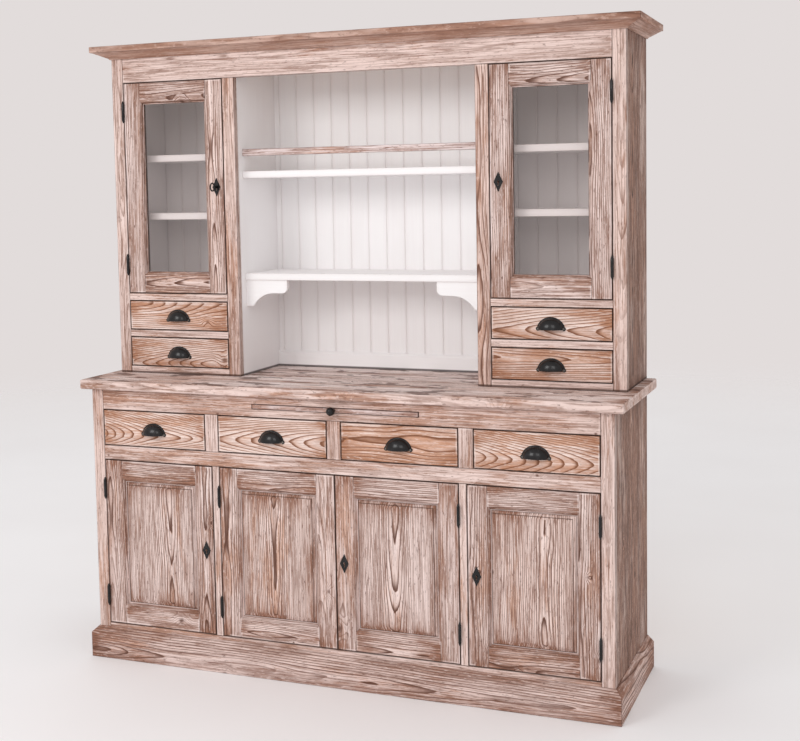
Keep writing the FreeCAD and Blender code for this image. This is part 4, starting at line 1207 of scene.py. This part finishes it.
@dataclass
class Drawers(Assembly):
    """The eight drawers with their cup pulls."""

    names: Sequence[str] = (
        "base_drawer_1", "base_drawer_2", "base_drawer_3", "base_drawer_4",
        "small_drawer_left_lower", "small_drawer_left_upper",
        "small_drawer_right_lower", "small_drawer_right_upper",
    )
    front_edge: Rounding = Rounding.SOFT
    rim_width: float = 0.0085
    rim_height: float = 0.0042
    rim_sides: int = 16
    rim_steps: int = 32
    ear_reach: float = 0.0065
    ear_drop: float = 0.0040
    screw_top: float = 0.0062
    weld: float = 1e-6

    def build(self) -> Iterator[Piece]:
        """Dresses every drawer box, forges its pull and casts the pull's rim.

        Returns:
            The pieces, one by one.
        """
        for drawer in self.names:
            yield self.carpenter.dress(drawer, HONEY_PINE, self.front_edge, leaf=True)
            yield self.carpenter.forge(f"{drawer}_pull", BLACK_IRON, SCREW_IRON)
            yield self.rim(drawer)

    def rim(self, drawer: str) -> Piece:
        """Casts the raised rim that arches round a pull's cup and ends above its screws.

        Args:
            drawer: the drawer's name.

        Returns:
            The rim.
        """
        low, high = (Vector(corner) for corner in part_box(f"{drawer}_pull"))
        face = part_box(drawer)[0][1]
        span = (high.x - low.x) / 2.0 - self.ear_reach
        rise = high.z - low.z - self.ear_drop - self.rim_width / 2.0
        arch = bmesh.new()
        bmesh.ops.create_circle(arch, cap_ends=True, segments=self.rim_sides, radius=0.5)
        bmesh.ops.scale(arch, vec=(self.rim_width, self.rim_height * 2.0, 1.0), verts=arch.verts)
        bmesh.ops.bisect_plane(arch, geom=[*arch.verts, *arch.edges, *arch.faces],
                               plane_co=(0.0, 0.0, 0.0), plane_no=(0.0, 1.0, 0.0), clear_outer=True)
        bmesh.ops.translate(arch, vec=(span, 0.0, 0.0), verts=arch.verts)
        bmesh.ops.spin(arch, geom=[*arch.verts, *arch.edges, *arch.faces], cent=(0.0, 0.0, 0.0),
                       axis=(0.0, -1.0, 0.0), angle=math.pi, steps=self.rim_steps)
        bmesh.ops.remove_doubles(arch, verts=arch.verts, dist=self.weld)
        bmesh.ops.recalc_face_normals(arch, faces=arch.faces)
        bmesh.ops.scale(arch, vec=(1.0, 1.0, rise / span), verts=arch.verts)
        bmesh.ops.bisect_plane(arch, geom=[*arch.verts, *arch.edges, *arch.faces],
                               plane_co=(0.0, 0.0, self.screw_top), plane_no=(0.0, 0.0, 1.0),
                               clear_inner=True)
        bmesh.ops.holes_fill(arch, edges=arch.edges)
        middle = Vector(((low.x + high.x) / 2.0, face, low.z + self.ear_drop))
        bmesh.ops.translate(arch, vec=middle, verts=arch.verts)
        for part in arch.faces:
            part.smooth = True
        return self.carpenter.place(f"{drawer}_pull", arch, BLACK_IRON, added="rim")


@dataclass
class SmallIron(Assembly):
    """The bread board with its knob, the key, its bolt and the frame's ironwork."""

    iron: Sequence[str] = ("bread_board_knob", "key", "lock_bolt", "frame_ironwork")
    board_edge: Rounding = Rounding.EASED

    def build(self) -> Iterator[Piece]:
        """Dresses the bread board and forges the loose ironwork.

        Returns:
            The pieces, one by one.
        """
        yield self.carpenter.dress("bread_board", PALE_PINE, self.board_edge, leaf=True)
        for node in self.iron:
            yield self.carpenter.forge(node, BLACK_IRON)


@dataclass(frozen=True)
class Lamp:
    """A soft square lamp: where it hangs, what it points at, its watts and its side in metres."""

    name: str
    place: Triple
    target: Triple
    power: float
    side: float = 2.0

    def hang(self) -> None:
        """Hangs the lamp."""
        data = bpy.data.lights.new(self.name, "AREA")
        data.size = self.side
        data.energy = self.power
        lamp = bpy.data.objects.new(self.name, data)
        bpy.context.scene.collection.objects.link(lamp)
        lamp.location = self.place
        aim = Vector(self.target) - Vector(self.place)
        lamp.rotation_euler = aim.to_track_quat("-Z", "Y").to_euler()


@dataclass
class Studio:
    """The pale floor, the soft lamps, the sky and the camera of the photograph."""

    floor_radius: float = 9.0
    floor_sides: int = 96
    floor_clouds: float = 0.3
    floor_colour: Colour = srgb(250, 248, 249)
    sky_colour: Colour = srgb(226, 220, 219)
    sky_light: float = 0.83
    lamps: Sequence[Lamp] = (Lamp("key_lamp", (-2.4, -5.2, 3.5), (-0.1, 0.0, 0.9), 78.0),
                             Lamp("front_lamp", (1.4, -5.4, 3.5), (0.0, 0.0, 0.9), 38.0))
    eye: Triple = (1.687, -3.928, 1.582)
    yaw: float = math.radians(21.33)
    pitch: float = math.radians(-4.54)
    roll: float = math.radians(0.96)
    lens: float = 58.25
    sensor: float = 36.0
    shift: tuple[float, float] = (-0.004, -0.095)

    def build(self) -> None:
        """Sets up the floor, the light and the camera."""
        self.floor()
        self.sky()
        for lamp in self.lamps:
            lamp.hang()
        self.camera()
        bpy.context.scene.view_settings.view_transform = "Standard"

    def floor(self) -> None:
        """Lays a round floor that fades into the sky at its rim."""
        disc = bmesh.new()
        bmesh.ops.create_circle(disc, cap_ends=True, segments=self.floor_sides, radius=self.floor_radius)
        mesh = bpy.data.meshes.new("floor")
        disc.to_mesh(mesh)
        disc.free()
        floor = bpy.data.objects.new("floor", mesh)
        bpy.context.scene.collection.objects.link(floor)
        material = bpy.data.materials.new("pale_floor")
        bench = Bench(material)
        place = bench.place()
        reach = bench.shade("ShaderNodeVectorMath", {"operation": "LENGTH"}, {0: place}, "Value")
        clouds = bench.noise(place, Noise.FLOOR) * self.floor_clouds
        colour = bench.blend(clouds, self.floor_colour, self.sky_colour)
        shader = bench.principled(Base_Color=colour, Roughness=0.7)
        clear = bench.shade("ShaderNodeBsdfTransparent", {}, {})
        rim = (reach / self.floor_radius).over(Span.FLOOR_FADE)
        bench.end(bench.either(rim, shader, clear))
        mesh.materials.append(material)

    def sky(self) -> None:
        """Lights the studio evenly and shows a pale backdrop to the eye, metal and glass."""
        world = bpy.data.worlds.new("studio")
        bpy.context.scene.world = world
        bench = Bench(world)
        seen = bench.rays("Is Camera Ray", "Is Transmission Ray", "Is Glossy Ray")
        sockets = {"Color": WHITE_LIGHT, "Strength": self.sky_light}
        light = bench.shade("ShaderNodeBackground", {}, sockets)
        shown = bench.shade("ShaderNodeBackground", {}, {"Color": self.sky_colour})
        bench.end(bench.either(seen, light, shown), "ShaderNodeOutputWorld")

    def camera(self) -> None:
        """Stands the camera where the photograph was taken from."""
        data = bpy.data.cameras.new("camera")
        data.sensor_width = self.sensor
        data.lens = self.lens
        data.shift_x, data.shift_y = self.shift
        camera = bpy.data.objects.new("camera", data)
        bpy.context.scene.collection.objects.link(camera)
        turn = (Matrix.Rotation(self.yaw, 3, "Z") @ Matrix.Rotation(self.pitch, 3, "X")
                @ Matrix.Rotation(self.roll, 3, "Y"))
        axes = Matrix((turn.col[0], turn.col[2], -turn.col[1])).transposed()
        camera.matrix_world = Matrix.Translation(self.eye) @ axes.to_4x4()
        bpy.context.scene.camera = camera


def main() -> None:
    """Builds the hutch's looks piece by piece, then the studio."""
    logging.basicConfig(level=logging.INFO, format="%(name)s: %(message)s")
    carpenter = Carpenter()
    for assembly in (BaseCarcass, HutchCarcass, WhiteInside, Doors, Drawers, SmallIron):
        pieces = list(assembly(carpenter).build())
        LOG.info("%s: %d pieces", assembly.__name__, len(pieces))
    Studio().build()


if __name__ == "__main__":
    main()
